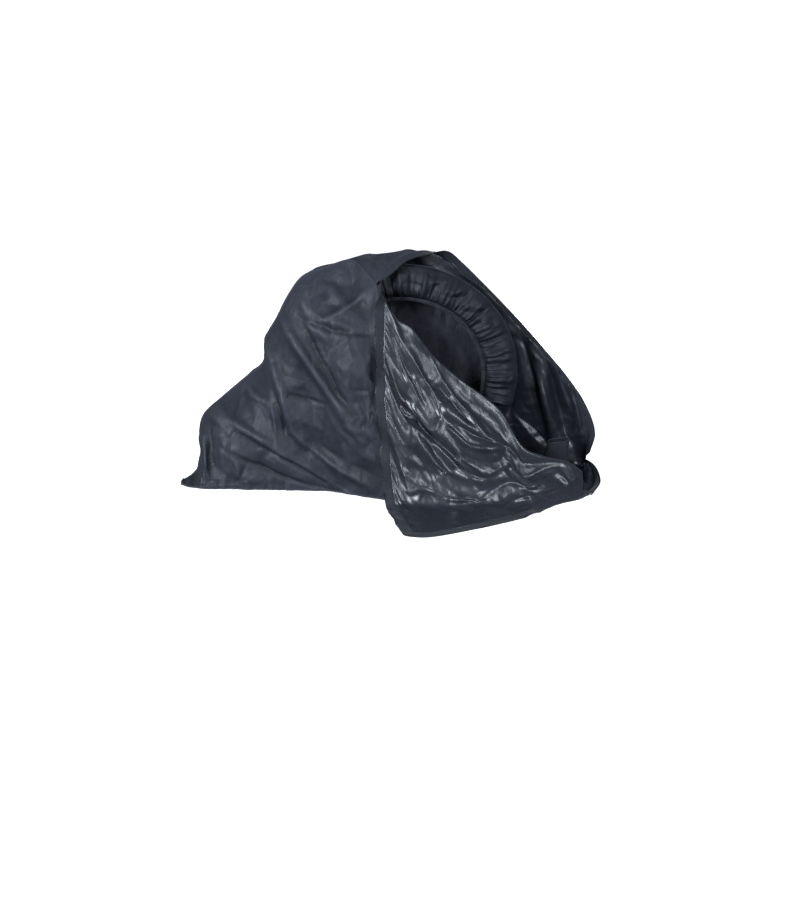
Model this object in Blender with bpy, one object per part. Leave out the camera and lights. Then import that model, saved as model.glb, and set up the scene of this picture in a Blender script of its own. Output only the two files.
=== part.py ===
"""Bicycle cover: a thin nylon bag that stands open, the front corner of its near side folded down.

Metres, +Z up, +X towards the open front end, the near side faces -Y. The floor is z = 0.
"""
import math
from collections import namedtuple

import bmesh
import bpy
import numpy as np

# ---- cloth and trim ----
CLOTH = 0.0018           # thickness of a panel, its coating included
TAPE_WIDTH = 0.026       # one half of the open zip
TAPE_THICKNESS = 0.0024
TAPE_GAP = 0.0012        # between a panel and its zip tape, which meet at a slight angle
BASE_GAP = 0.0010        # between the base and the feet of the panels
BAND_GAP = 0.0012        # between the elastic band and the pocket's mouth
SEAM_STEP = 0.0022       # the far panel's edge lies this far behind the near panel's along the top seam
FOLD_RADIUS = 0.008      # radius of the turn where the corner is folded over
SETTLE = 0.030           # how softly the folded corner runs out on the floor
SWEEP = 2.6              # how late, on its way down, the folded corner swings forward
BASE_REAR = -0.575       # the bottom strip starts here, in front of the flat tail

# ---- how finely each piece is divided ----
REAR_COLUMNS = 34        # near panel, from the tail to the rear end of the zip
FRONT_COLUMNS = 22       # near panel, from there to the front end
WALL_ROWS = 14           # near panel, floor to top
TURN_ROWS = 3            # round the fold
FLAP_ROWS = 20           # fold to free edge
CALM_COLUMNS = 4         # on this many columns beside the zip's rear end the folds die away
FAR_COLUMNS = 18         # far panel in front of the zip's rear end; behind it, as the near panel
FAR_ROWS = 9             # far panel, floor to crest
HOOD_ROWS = 4            # over the crest to its front edge

# ---- where the folds of a panel start and die away ----
WALL_FADE = 0.15         # part of the near wall's height, at its foot and at its top
FOOT_HOLD = 0.35         # what is left of a fold at the near wall's foot
TURN_CLEAR = 0.10        # below the fold of the corner
EDGE_CLEAR = 0.05        # above its free edge
FAR_FOOT_ROWS = 1.5      # rows of the far panel, above the floor
FAR_FOOT_HOLD = 0.3
FAR_CREST_ROWS = 3       # below its crest
LEAST_FADE = 0.06        # the part of a fold's length that counts as its end
FADE_POWER = 0.6
CURVE_STEPS = 20         # steps along a fold

# ---- round pocket ----
POCKET_CENTRE = (0.030, 0.108, 0.3245)
POCKET_SQUASH = 0.945    # the soft disc sags, so it is lower than it is wide
GATHERS = 24             # radial gathers around the mouth
STEPS_PER_GATHER = 4
GATHER_PINCH = 0.25      # how far a gather also pulls the cloth inward, as a part of its height
BAND_WIDTH = 0.011
BAND_THICKNESS = 0.0032

# ---- the near panel behind the zip, one row for each section from the tail to the zip's end ----
Rear = namedtuple("Rear", "foot_x foot_y top_x top_y top_z lean")
REAR = (
    Rear(-0.626, 0.046, -0.626, 0.068, 0.006, 1.0),
    Rear(-0.606, 0.026, -0.606, 0.100, 0.012, 1.0),
    Rear(-0.588, 0.014, -0.586, 0.122, 0.032, 1.4),
    Rear(-0.562, 0.006, -0.576, 0.125, 0.100, 2.4),
    Rear(-0.525, 0.004, -0.577, 0.125, 0.150, 3.4),
    Rear(-0.480, 0.003, -0.560, 0.125, 0.200, 4.0),
    Rear(-0.430, 0.002, -0.505, 0.125, 0.250, 4.0),
    Rear(-0.380, 0.001, -0.430, 0.125, 0.313, 4.0),
    Rear(-0.335, -0.001, -0.378, 0.125, 0.356, 4.0),
    Rear(-0.290, -0.003, -0.370, 0.122, 0.425, 4.0),
    Rear(-0.245, -0.006, -0.333, 0.120, 0.492, 4.0),
    Rear(-0.205, -0.011, -0.298, 0.122, 0.556, 5.0),
    Rear(-0.165, -0.022, -0.255, 0.122, 0.610, 5.0),
    Rear(-0.125, -0.038, -0.190, 0.122, 0.634, 5.0),
    Rear(-0.085, -0.056, -0.122, 0.114, 0.656, 4.0),
    Rear(-0.048, -0.075, -0.080, 0.067, 0.636, 2.4),
    Rear(-0.012, -0.093, -0.043, 0.030, 0.599, 1.5),
)

# ---- the near panel in front of it: foot of the wall, fold, where the flap meets the floor, free edge ----
Front = namedtuple("Front", "foot_x foot_y fold_x fold_y fold_z lean land_y edge_x edge_y")
FRONT = (
    Front(-0.012, -0.093, -0.043, 0.030, 0.599, 1.5, -0.150, 0.058, -0.350),
    Front(0.035, -0.084, 0.012, 0.020, 0.504, 1.2, -0.155, 0.092, -0.354),
    Front(0.085, -0.076, 0.058, 0.020, 0.470, 1.1, -0.160, 0.142, -0.334),
    Front(0.150, -0.072, 0.122, 0.020, 0.389, 1.1, -0.162, 0.208, -0.300),
    Front(0.235, -0.068, 0.215, 0.020, 0.310, 1.1, -0.160, 0.282, -0.258),
    Front(0.325, -0.062, 0.310, 0.014, 0.235, 1.1, -0.148, 0.358, -0.207),
    Front(0.395, -0.050, 0.375, -0.008, 0.135, 1.1, -0.128, 0.414, -0.152),
    Front(0.455, -0.036, 0.440, -0.008, 0.102, 1.1, -0.100, 0.466, -0.106),
    Front(0.515, -0.014, 0.508, 0.000, 0.082, 1.1, -0.062, 0.514, -0.074),
    Front(0.556, 0.006, 0.556, 0.012, 0.046, 1.1, -0.026, 0.556, -0.038),
)
FLAP_INSET = 0.026       # the flap's rear edge lies this far in from the fold's rear end
INSET_DEPTH = 0.040      # and reaches that place this far down from the fold
INSET_POWER = 4          # how quickly that dies away towards the front
DROP_POINTS = 60         # points in which a line down the flap is measured

# ---- the far panel behind the zip, one row for each row of REAR, whose top it is sewn to ----
Back = namedtuple("Back", "foot_x foot_y crest_x crest_y crest_z")
BACK = (
    Back(-0.626, 0.092, -0.624, 0.080, 0.005),
    Back(-0.606, 0.128, -0.604, 0.113, 0.011),
    Back(-0.588, 0.158, -0.584, 0.139, 0.034),
    Back(-0.570, 0.182, -0.574, 0.147, 0.102),
    Back(-0.535, 0.205, -0.575, 0.147, 0.152),
    Back(-0.490, 0.220, -0.558, 0.147, 0.202),
    Back(-0.440, 0.230, -0.503, 0.147, 0.252),
    Back(-0.390, 0.235, -0.428, 0.147, 0.315),
    Back(-0.345, 0.240, -0.376, 0.147, 0.358),
    Back(-0.305, 0.240, -0.368, 0.144, 0.427),
    Back(-0.265, 0.240, -0.331, 0.142, 0.494),
    Back(-0.225, 0.240, -0.296, 0.144, 0.558),
    Back(-0.185, 0.240, -0.253, 0.144, 0.612),
    Back(-0.150, 0.240, -0.188, 0.144, 0.636),
    Back(-0.115, 0.240, -0.120, 0.139, 0.658),
    Back(-0.080, 0.240, -0.085, 0.136, 0.668),
    Back(-0.050, 0.240, -0.050, 0.137, 0.671),
)

# ---- the far panel in front of that: foot, crest, front edge, and 1 where its tape is sewn on ----
Far = namedtuple("Far", "foot_x foot_y crest_x crest_y crest_z edge_x edge_y edge_z tape")
FAR_FRONT = (
    Far(-0.050, 0.240, -0.050, 0.137, 0.671, -0.043, 0.030, 0.599, 0.0),
    Far(0.000, 0.240, -0.003, 0.138, 0.676, -0.004, 0.048, 0.622, 1.0),
    Far(0.050, 0.240, 0.045, 0.140, 0.680, 0.045, 0.078, 0.658, 1.0),
    Far(0.105, 0.240, 0.100, 0.143, 0.679, 0.100, 0.104, 0.671, 1.0),
    Far(0.160, 0.240, 0.154, 0.160, 0.655, 0.158, 0.130, 0.679, 1.0),
    Far(0.225, 0.240, 0.212, 0.178, 0.600, 0.205, 0.164, 0.642, 1.0),
    Far(0.290, 0.240, 0.276, 0.188, 0.556, 0.268, 0.186, 0.580, 1.0),
    Far(0.350, 0.240, 0.340, 0.197, 0.486, 0.335, 0.196, 0.512, 1.0),
    Far(0.410, 0.240, 0.404, 0.202, 0.418, 0.400, 0.202, 0.444, 1.0),
    Far(0.470, 0.238, 0.470, 0.204, 0.344, 0.466, 0.202, 0.370, 1.0),
    Far(0.525, 0.236, 0.536, 0.208, 0.262, 0.534, 0.208, 0.290, 1.0),
    Far(0.565, 0.235, 0.588, 0.210, 0.180, 0.592, 0.208, 0.206, 1.0),
    Far(0.588, 0.230, 0.604, 0.212, 0.096, 0.626, 0.206, 0.118, 1.0),
    Far(0.596, 0.222, 0.602, 0.214, 0.034, 0.614, 0.208, 0.050, 1.0),
)
LEAST_HOOD = 0.008       # the far panel goes at least this far past its crest
FAR_LEAN = 2.0           # how late its wall leans over
HOOD_PUFF = 0.10         # how high the hood bulges, as a part of its length
LEAST_SLANT = 0.6        # limits the trimmed width where the hood meets its edge at a slant
WALL_STEPS = 30          # steps in which its wall is measured
HOOD_STEPS = 12          # and its hood

# ---- main folds of the near panel seen from the near side: from, through, to, then size.
# A fold with a height below zero is a trough. ----
Crease = namedtuple("Crease", "x0 z0 x1 z1 x2 z2 width height")
WALL_FOLDS = (
    Crease(-0.330, 0.500, -0.225, 0.369, -0.070, 0.150, 0.023, 0.020),
    Crease(-0.262, 0.480, -0.175, 0.345, -0.085, 0.215, 0.018, -0.019),
    Crease(-0.230, 0.455, -0.147, 0.320, -0.080, 0.230, 0.018, 0.014),
    Crease(-0.362, 0.412, -0.318, 0.298, -0.268, 0.165, 0.023, 0.018),
    Crease(-0.335, 0.330, -0.320, 0.240, -0.300, 0.165, 0.016, -0.015),
    Crease(-0.530, 0.235, -0.378, 0.147, -0.080, -0.010, 0.030, 0.024),
    Crease(-0.480, 0.190, -0.320, 0.108, -0.150, 0.020, 0.021, -0.019),
    Crease(-0.500, 0.100, -0.330, 0.040, -0.180, 0.000, 0.025, -0.012),
    Crease(-0.560, 0.170, -0.562, 0.090, -0.556, 0.020, 0.016, 0.011),
    Crease(-0.528, 0.175, -0.520, 0.100, -0.515, 0.020, 0.018, -0.020),
    Crease(-0.275, 0.506, -0.160, 0.476, -0.050, 0.463, 0.011, -0.008),
    Crease(-0.060, 0.575, -0.130, 0.530, -0.185, 0.470, 0.018, 0.011),
    Crease(-0.270, 0.606, -0.170, 0.596, -0.060, 0.582, 0.016, -0.011),
    Crease(-0.380, 0.350, -0.420, 0.300, -0.470, 0.262, 0.018, -0.014),
)

# ---- main folds of the folded-down corner: x, and the way down from the fold ----
Drop = namedtuple("Drop", "x0 d0 x1 d1 x2 d2 width height")
FLAP_FOLDS = (
    Drop(-0.020, 0.240, 0.040, 0.330, 0.220, 0.330, 0.025, 0.025),
    Drop(0.010, 0.190, 0.090, 0.260, 0.300, 0.230, 0.021, -0.020),
    Drop(0.010, 0.060, 0.110, 0.130, 0.300, 0.130, 0.023, 0.021),
    Drop(0.130, 0.050, 0.220, 0.070, 0.360, 0.060, 0.021, -0.014),
    Drop(0.000, 0.420, 0.060, 0.470, 0.200, 0.470, 0.028, 0.011),
    Drop(0.300, 0.160, 0.400, 0.120, 0.500, 0.100, 0.018, 0.017),
)

# ---- main folds of the far panel, seen from the near side ----
FAR_FOLDS = (
    Crease(0.420, 0.380, 0.460, 0.240, 0.500, 0.060, 0.018, 0.021),
    Crease(0.470, 0.360, 0.510, 0.240, 0.550, 0.080, 0.015, -0.021),
    Crease(0.505, 0.330, 0.555, 0.220, 0.585, 0.090, 0.015, 0.018),
    Crease(0.250, 0.590, 0.300, 0.400, 0.360, 0.120, 0.026, -0.021),
    Crease(0.150, 0.640, 0.170, 0.400, 0.220, 0.100, 0.029, 0.021),
    Crease(-0.020, 0.640, -0.010, 0.400, 0.040, 0.100, 0.029, -0.018),
    Crease(-0.200, 0.600, -0.170, 0.350, -0.120, 0.060, 0.031, 0.021),
    Crease(-0.350, 0.400, -0.330, 0.250, -0.300, 0.050, 0.026, -0.021),
    Crease(-0.500, 0.220, -0.480, 0.140, -0.450, 0.030, 0.024, 0.018),
)

# ---- the pocket's profile: its gathered front, from the mouth to the rim, and its back, from the rim in ----
Ring = namedtuple("Ring", "radius depth gather")
POCKET_FRONT = (
    Ring(0.246, -0.020, 0.0050),
    Ring(0.262, -0.028, 0.0070),
    Ring(0.288, -0.031, 0.0070),
    Ring(0.313, -0.025, 0.0055),
    Ring(0.332, -0.010, 0.0030),
    Ring(0.338, 0.004, 0.0015),
)
POCKET_BACK = (
    Ring(0.3375, 0.0058, 0.0012),
    Ring(0.327, 0.018, 0.0005),
    Ring(0.300, 0.026, 0.0000),
    Ring(0.150, 0.027, 0.0000),
)

# ---- sleeve that stands on the base ----
SLEEVE_PLACE = (0.488, 0.110)
SLEEVE_FOOT = (0.096, 0.060)     # length and width at the base
SLEEVE_TOP = (0.060, 0.044)
SLEEVE_HEIGHT = 0.114
SLEEVE_LEAN = 0.012              # its mouth stands this far forward of its foot
SLEEVE_SLOPE = 0.006             # and is this much higher or lower at its front and rear
SLEEVE_CORNER = 0.6              # 1 for an oval, less for squarer corners
SLEEVE_SIDES = 20
SLEEVE_RISE = 4

# ---- the near tape past the folded corner, where it curls round the front of the base ----
Curl = namedtuple("Curl", "x y z out_x out_y out_z")
CURL = (
    Curl(0.574, -0.020, 0.004, 0.60, -0.70, 0.35),
    Curl(0.592, 0.010, 0.006, 0.70, -0.40, 0.65),
    Curl(0.603, 0.050, 0.008, 0.45, -0.10, 0.90),
    Curl(0.608, 0.095, 0.008, 0.30, 0.00, 0.95),
    Curl(0.608, 0.140, 0.007, 0.20, 0.10, 0.97),
    Curl(0.604, 0.172, 0.006, 0.10, 0.10, 0.98),
)
CURL_STEPS = 10
CORNER_TURNS = 3         # the tape is turned in this many steps at the corner's tip
CORNER_SHIFT = 0.0004    # which start this far out from the tip
TAPE_START = 0.3         # the far tape starts where there is room for this much of its width


def spline(rows, count):
    """Points at even steps on a smooth curve through the rows of a table."""
    table = np.array(rows, dtype=float)
    last = len(table) - 1
    padded = np.vstack([2 * table[0] - table[1], table, 2 * table[-1] - table[-2]])
    found = []
    for step in np.linspace(0.0, last, count + 1):
        index = min(int(step), last - 1)
        t = step - index
        a, b, c, d = padded[index:index + 4]
        found.append(0.5 * (2 * b + (c - a) * t + (2 * a - 5 * b + 4 * c - d) * t ** 2
                            + (3 * b - a - 3 * c + d) * t ** 3))
    return np.array(found)


def evenly(path, count, start=0.0, end=None):
    """Points at even distances along a path, from start to end, both measured along it."""
    path = np.asarray(path, dtype=float)
    steps = np.linalg.norm(np.diff(path, axis=0), axis=1)
    along = np.concatenate([[0.0], np.cumsum(steps)])
    wanted = np.linspace(start, along[-1] if end is None else end, count + 1)
    return np.stack([np.interp(wanted, along, path[:, axis]) for axis in range(3)], axis=1)


def fold_height(folds, across, along):
    """Height of the soft ridges and troughs of a table at each place."""
    height = np.zeros_like(across)
    for fold in folds:
        x0, z0, x1, z1, x2, z2, width, rise = fold
        t = np.linspace(0.0, 1.0, CURVE_STEPS + 1)
        curve_x = (1 - t) ** 2 * x0 + 2 * t * (1 - t) * (2 * x1 - (x0 + x2) / 2) + t ** 2 * x2
        curve_z = (1 - t) ** 2 * z0 + 2 * t * (1 - t) * (2 * z1 - (z0 + z2) / 2) + t ** 2 * z2
        apart = (across[..., None] - curve_x) ** 2 + (along[..., None] - curve_z) ** 2
        nearest = apart.argmin(axis=-1)
        fade = np.sin(math.pi * np.clip(t[nearest], LEAST_FADE, 1 - LEAST_FADE)) ** FADE_POWER
        height += rise * fade * np.exp(-apart.min(axis=-1) / width ** 2)
    return height


def wall_profile(foot, top, rows, lean):
    """A side wall: it rises almost upright from its foot and leans to its top."""
    v = np.linspace(0.0, 1.0, rows + 1)
    x = foot[0] + (top[0] - foot[0]) * v
    y = foot[1] + (top[1] - foot[1]) * v ** lean
    return np.stack([x, y, top[2] * v], axis=1)


def near_wall():
    """Grid of the near panel's wall, tail to front, floor to seam or fold."""
    columns = []
    for row in np.vstack([spline(REAR, REAR_COLUMNS), spline(FRONT, FRONT_COLUMNS)[1:, :6]]):
        columns.append(wall_profile(row[:2], row[2:5], WALL_ROWS, row[5]))
    grid = np.array(columns)
    rise = fold_height(WALL_FOLDS, grid[..., 0], grid[..., 2])
    v = np.linspace(0.0, 1.0, WALL_ROWS + 1)
    hold = np.clip(v / WALL_FADE, FOOT_HOLD, 1.0) * np.clip((1 - v) / WALL_FADE, 0.0, 1.0)
    away = np.clip(np.abs(np.arange(len(grid)) - REAR_COLUMNS) / CALM_COLUMNS, 0.0, 1.0)
    grid[..., 1] -= rise * hold * away[:, None]
    return grid


def flap_column(row, across):
    """One line down the folded corner, from the fold's front to the free edge."""
    fold_x, fold_y, fold_z, land_y, edge_x, edge_y = [*row[2:5], *row[6:]]
    start_y = fold_y - 2 * FOLD_RADIUS
    y = np.linspace(start_y, min(edge_y, land_y), DROP_POINTS)
    line = fold_z * (y - land_y) / (start_y - land_y)
    soft = 0.5 * (line + np.sqrt(line ** 2 + SETTLE ** 2))
    w = np.linspace(0.0, 1.0, DROP_POINTS)
    z = np.maximum(soft - (soft[0] - fold_z) * (1 - w) ** 3, 0.0) + CLOTH / 2
    path = evenly(np.stack([np.zeros(DROP_POINTS), y, z], axis=1), DROP_POINTS - 1)
    ramp = np.clip((fold_z - path[:, 2]) / INSET_DEPTH, 0.0, 1.0)
    inset = FLAP_INSET * ramp * (1 - across) ** INSET_POWER * (1 - w)
    path[:, 0] = fold_x + (edge_x - fold_x) * w ** SWEEP + inset
    return path


def front_flap():
    """Grid of the folded corner: the turn over the fold, then down to the free edge."""
    columns = []
    for number, row in enumerate(spline(FRONT, FRONT_COLUMNS)):
        fold_x, fold_y, fold_z = row[2:5]
        angles = np.linspace(0.0, math.pi, TURN_ROWS + 1)[1:-1]
        turn = [(fold_x, fold_y - FOLD_RADIUS + FOLD_RADIUS * math.cos(a), fold_z + FOLD_RADIUS * math.sin(a))
                for a in angles]
        drop = evenly(flap_column(row, number / FRONT_COLUMNS), FLAP_ROWS)
        columns.append(np.vstack([turn, drop]))
    return np.array(columns)


def grid_normals(grid):
    """Unit normals of a grid of points."""
    across = np.gradient(grid, axis=0)
    down = np.gradient(grid, axis=1)
    normal = np.cross(across, down)
    return normal / np.maximum(np.linalg.norm(normal, axis=2, keepdims=True), 1e-9)


def raise_flap(grid):
    """Lift the folds of the folded corner, fading out where it turns and where it lies flat."""
    down = np.concatenate([np.zeros((len(grid), 1)),
                           np.cumsum(np.linalg.norm(np.diff(grid, axis=1), axis=2), axis=1)], axis=1)
    rise = fold_height(FLAP_FOLDS, grid[..., 0], down)
    clear = np.clip(down / TURN_CLEAR, 0.0, 1.0) * np.clip((down[:, -1:] - down) / EDGE_CLEAR, 0.0, 1.0)
    normal = -grid_normals(grid)
    normal *= np.sign(normal[..., 2:3] - normal[..., 1:2] + 1e-9)
    raised = grid + normal * (rise * clear)[..., None]
    raised[..., 2] = np.maximum(raised[..., 2], CLOTH / 2)
    return raised


def far_sections():
    """Sections of the far panel from tail to front; behind the zip its edge follows the near panel's."""
    rear = []
    for back, section in zip(BACK, REAR):
        rear.append((*back, section.top_x, section.top_y + SEAM_STEP, section.top_z, 0.0))
    front = [row._replace(edge_y=row.edge_y + SEAM_STEP) for row in FAR_FRONT]
    return np.vstack([spline(rear, REAR_COLUMNS), spline(front, FAR_COLUMNS)[1:]])


def far_path(row):
    """One line up the far panel, over its crest and on to its front edge."""
    foot, crest, edge = row[:2], row[2:5], row[5:8]
    wall = wall_profile(foot, crest, WALL_STEPS, FAR_LEAN)
    w = np.linspace(0.0, 1.0, HOOD_STEPS + 1)[1:, None]
    hood = crest * (1 - w) + edge * w
    hood[:, 2] += HOOD_PUFF * np.linalg.norm(edge - crest) * np.sin(math.pi * w[:, 0])
    return np.vstack([wall, hood])


def far_wall():
    """Grid of the far panel, tail to front, foot to front edge; and the line where its tape ends."""
    rows = far_sections()
    paths = [far_path(row) for row in rows]
    lip = np.array([path[-1] for path in paths])
    along = np.gradient(lip, axis=0)
    along /= np.linalg.norm(along, axis=1, keepdims=True)
    columns = []
    for row, path, beside in zip(rows, paths, along):
        length = np.linalg.norm(np.diff(path, axis=0), axis=1).sum()
        leading = evenly(path, 1, length - TAPE_WIDTH, length)
        leading = (leading[1] - leading[0]) / TAPE_WIDTH
        slant = max(np.linalg.norm(np.cross(leading, beside)), LEAST_SLANT)
        bend = np.linalg.norm(np.diff(path[:WALL_STEPS + 1], axis=0), axis=1).sum()
        stop = max(length - row[8] * TAPE_WIDTH / slant, bend + LEAST_HOOD)
        wall = evenly(path, FAR_ROWS, 0.0, bend)
        columns.append(np.vstack([wall, evenly(path, HOOD_ROWS, bend, stop)[1:]]))
    grid = np.array(columns)
    rise = fold_height(FAR_FOLDS, grid[..., 0], grid[..., 2])
    row = np.arange(grid.shape[1])
    hold = np.clip(row / FAR_FOOT_ROWS, FAR_FOOT_HOLD, 1.0)
    hold *= np.clip((FAR_ROWS - row) / FAR_CREST_ROWS, 0.0, 1.0)
    grid[..., 1] -= rise * hold
    return grid, lip


def grid_faces(columns, rows, first=0):
    """Quads of a grid whose points are numbered column by column."""
    faces = []
    for column in range(columns - 1):
        for row in range(rows - 1):
            corner = first + column * rows + row
            faces.append((corner, corner + rows, corner + rows + 1, corner + 1))
    return faces


def split(face, points):
    """A quad as two triangles, cut along its shorter diagonal."""
    if len(face) == 3:
        return [face]
    a, b, c, d = face
    if np.linalg.norm(points[a] - points[c]) <= np.linalg.norm(points[b] - points[d]):
        return [(a, b, c), (a, c, d)]
    return [(a, b, d), (b, c, d)]


def thicken(points, faces, thickness):
    """Turn a surface into a closed sheet, half its thickness to each side, none of it under the floor.

    Both skins are cut into the same triangles, so that they never cross where a quad is warped.
    """
    points = np.asarray(points, dtype=float)
    triangles = [triangle for face in faces for triangle in split(face, points)]
    normals = np.zeros_like(points)
    for a, b, c in triangles:
        normal = np.cross(points[b] - points[a], points[c] - points[a])
        for index in (a, b, c):
            normals[index] += normal
    normals /= np.maximum(np.linalg.norm(normals, axis=1, keepdims=True), 1e-12)
    solid = np.vstack([points + normals * thickness / 2, points - normals * thickness / 2])
    solid[:, 2] = np.maximum(solid[:, 2], 0.0)
    count = len(points)
    edges = {(start, end) for face in triangles for start, end in zip(face, face[1:] + face[:1])}
    closed = triangles + [tuple(index + count for index in reversed(face)) for face in triangles]
    for start, end in sorted(edges):
        if (end, start) not in edges:
            closed += split((end, start, start + count, end + count), solid)
    return solid, closed


def paint(name, colour, roughness, coat=0.0):
    """A plain material of one colour."""
    material = bpy.data.materials.new(name)
    material.use_nodes = True
    shader = material.node_tree.nodes["Principled BSDF"]
    shader.inputs["Base Color"].default_value = (*colour, 1.0)
    shader.inputs["Roughness"].default_value = roughness
    shader.inputs["Coat Weight"].default_value = coat
    return material


def add_solid(name, points, faces, material):
    """One named object from a closed mesh, its faces turned outward."""
    mesh = bpy.data.meshes.new(name)
    mesh.from_pydata([tuple(point) for point in points], [], faces)
    work = bmesh.new()
    work.from_mesh(mesh)
    bmesh.ops.recalc_face_normals(work, faces=work.faces)
    if work.calc_volume(signed=True) < 0:
        bmesh.ops.reverse_faces(work, faces=work.faces)
    work.to_mesh(mesh)
    work.free()
    mesh.shade_smooth()
    mesh.set_sharp_from_angle(angle=math.radians(50))
    mesh.materials.append(material)
    thing = bpy.data.objects.new(name, mesh)
    bpy.context.scene.collection.objects.link(thing)
    return thing


def strip(edge, outer, thickness):
    """A ribbon sewn along an edge, as far as its outer border: points and closed faces."""
    leading = (outer - edge) / np.linalg.norm(outer - edge, axis=1, keepdims=True)
    points = np.stack([edge + leading * TAPE_GAP, outer], axis=1).reshape(-1, 3)
    return thicken(points, grid_faces(len(edge), 2), thickness)


def make_near_panel(material):
    wall = near_wall()
    flap = raise_flap(front_flap())
    points = list(wall.reshape(-1, 3)) + list(flap.reshape(-1, 3))
    faces = grid_faces(len(wall), WALL_ROWS + 1)
    first = wall.shape[0] * wall.shape[1]
    rows = flap.shape[1]
    faces += grid_faces(len(flap), rows, first)
    for column in range(FRONT_COLUMNS):
        left = (REAR_COLUMNS + column) * (WALL_ROWS + 1) + WALL_ROWS
        right = left + WALL_ROWS + 1
        faces.append((left, right, first + (column + 1) * rows, first + column * rows))
    return add_solid("side_panel_near", *thicken(points, faces, CLOTH), material), wall, flap


def make_far_panel(material):
    grid, lip = far_wall()
    faces = grid_faces(grid.shape[0], grid.shape[1])
    return add_solid("side_panel_far", *thicken(grid.reshape(-1, 3), faces, CLOTH), material), grid, lip


def edge_outward(border, inside):
    """Unit vectors that lead straight out of a sheet at its border."""
    along = np.gradient(border, axis=0)
    along /= np.linalg.norm(along, axis=1, keepdims=True)
    out = border - inside
    out -= along * np.sum(out * along, axis=1, keepdims=True)
    return out / np.linalg.norm(out, axis=1, keepdims=True)


def make_near_tape(flap, material):
    """Tape down the flap's rear edge, round its corner, along the free edge and round the front end."""
    down = flap[0, TURN_ROWS:]
    down_out = edge_outward(down, flap[1, TURN_ROWS:])
    free = flap[:, -1]
    free_out = edge_outward(free, flap[:, -2])
    turn = np.linspace(0.0, 1.0, CORNER_TURNS + 2)[1:-1, None]
    corner_out = down_out[-1] * (1 - turn) + free_out[0] * turn
    corner_out /= np.linalg.norm(corner_out, axis=1, keepdims=True)
    corner = down[-1] + corner_out * CORNER_SHIFT
    curl = spline(CURL, CURL_STEPS)
    curl_out = curl[:, 3:] / np.linalg.norm(curl[:, 3:], axis=1, keepdims=True)
    edge = np.vstack([down[:-1], corner, free[1:], curl[:, :3]])
    outward = np.vstack([down_out[:-1], corner_out, free_out[1:], curl_out])
    outer = edge + outward * (TAPE_GAP + TAPE_WIDTH)
    return add_solid("zip_tape_near", *strip(edge, outer, TAPE_THICKNESS), material)


def make_far_tape(grid, lip, material):
    """Tape along the hood's lip and down the far panel's free edge."""
    first = int(np.argmax(np.linalg.norm(lip - grid[:, -1], axis=1) > TAPE_START * TAPE_WIDTH))
    return add_solid("zip_tape_far", *strip(grid[first:, -1], lip[first:], TAPE_THICKNESS), material)


def inset_line(foot, inset):
    """The foot of a wall moved sideways, without the part behind the base's rear end."""
    along = np.gradient(foot[:, :2], axis=0)
    along /= np.linalg.norm(along, axis=1, keepdims=True)
    moved = foot[:, :2] + inset * np.stack([-along[:, 1], along[:, 0]], axis=1)
    return [(x, y) for x, y in moved if x > BASE_REAR]


def make_base(near_foot, far_foot, material):
    """Flat bottom between the feet of the two side panels."""
    inset = CLOTH / 2 + BASE_GAP
    near = inset_line(near_foot, inset)
    far = inset_line(far_foot, -inset)
    outline = near + far[::-1]
    count = len(outline)
    points = [(x, y, 0.0) for x, y in outline] + [(x, y, CLOTH) for x, y in outline]
    faces = [tuple(reversed(range(count))), tuple(range(count, 2 * count))]
    faces += [(i, (i + 1) % count, (i + 1) % count + count, i + count) for i in range(count)]
    return add_solid("base_gusset", points, faces, material)


def gather_wave(angle):
    """Uneven gathers round the pocket, between -1 and 1."""
    return np.cos(GATHERS * angle + 0.7 * np.sin(3 * angle + 1.0) + 0.5 * np.sin(7 * angle + 2.0))


def pocket_rings(rings):
    """Points of a row of rings round the pocket, and the quads between them."""
    cx, cy, cz = POCKET_CENTRE
    around = GATHERS * STEPS_PER_GATHER
    angles = np.arange(around) * 2 * math.pi / around
    wave = gather_wave(angles)
    points = []
    for ring in rings:
        radius = ring.radius + GATHER_PINCH * ring.gather * wave
        for angle, reach, swell in zip(angles, radius, wave):
            points.append((cx + reach * math.cos(angle), cy + ring.depth - ring.gather * swell,
                           cz + reach * POCKET_SQUASH * math.sin(angle)))
    faces = []
    for ring in range(len(rings) - 1):
        for step in range(around):
            beside = (step + 1) % around
            faces.append((ring * around + step, ring * around + beside,
                          (ring + 1) * around + beside, (ring + 1) * around + step))
    return points, faces


def make_pocket(material):
    return add_solid("wheel_pocket", *thicken(*pocket_rings(POCKET_FRONT), CLOTH), material)


def make_pocket_back(material):
    """The smooth disc that closes the pocket behind."""
    points, faces = pocket_rings(POCKET_BACK)
    cx, cy, cz = POCKET_CENTRE
    around = GATHERS * STEPS_PER_GATHER
    centre = len(points)
    points.append((cx, cy + POCKET_BACK[-1].depth, cz))
    inner = centre - around
    faces += [(inner + step, inner + (step + 1) % around, centre) for step in range(around)]
    return add_solid("pocket_back", *thicken(points, faces, CLOTH), material)


def make_band(material):
    """Elastic band just inside the pocket's mouth."""
    cx, cy, cz = POCKET_CENTRE
    mouth = POCKET_FRONT[0]
    outer = mouth.radius - GATHER_PINCH * mouth.gather - BAND_GAP
    around = GATHERS * 2
    points = []
    for step in range(around):
        angle = step * 2 * math.pi / around
        inner = outer - BAND_WIDTH
        for reach, push in ((outer, -0.5), (outer, 0.5), (inner, 0.5), (inner, -0.5)):
            points.append((cx + reach * math.cos(angle), cy + mouth.depth + push * BAND_THICKNESS,
                           cz + reach * POCKET_SQUASH * math.sin(angle)))
    faces = []
    for step in range(around):
        here = step * 4
        there = (step + 1) % around * 4
        for side in range(4):
            nxt = (side + 1) % 4
            faces.append((here + side, here + nxt, there + nxt, there + side))
    return add_solid("pocket_elastic", points, faces, material)


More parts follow.
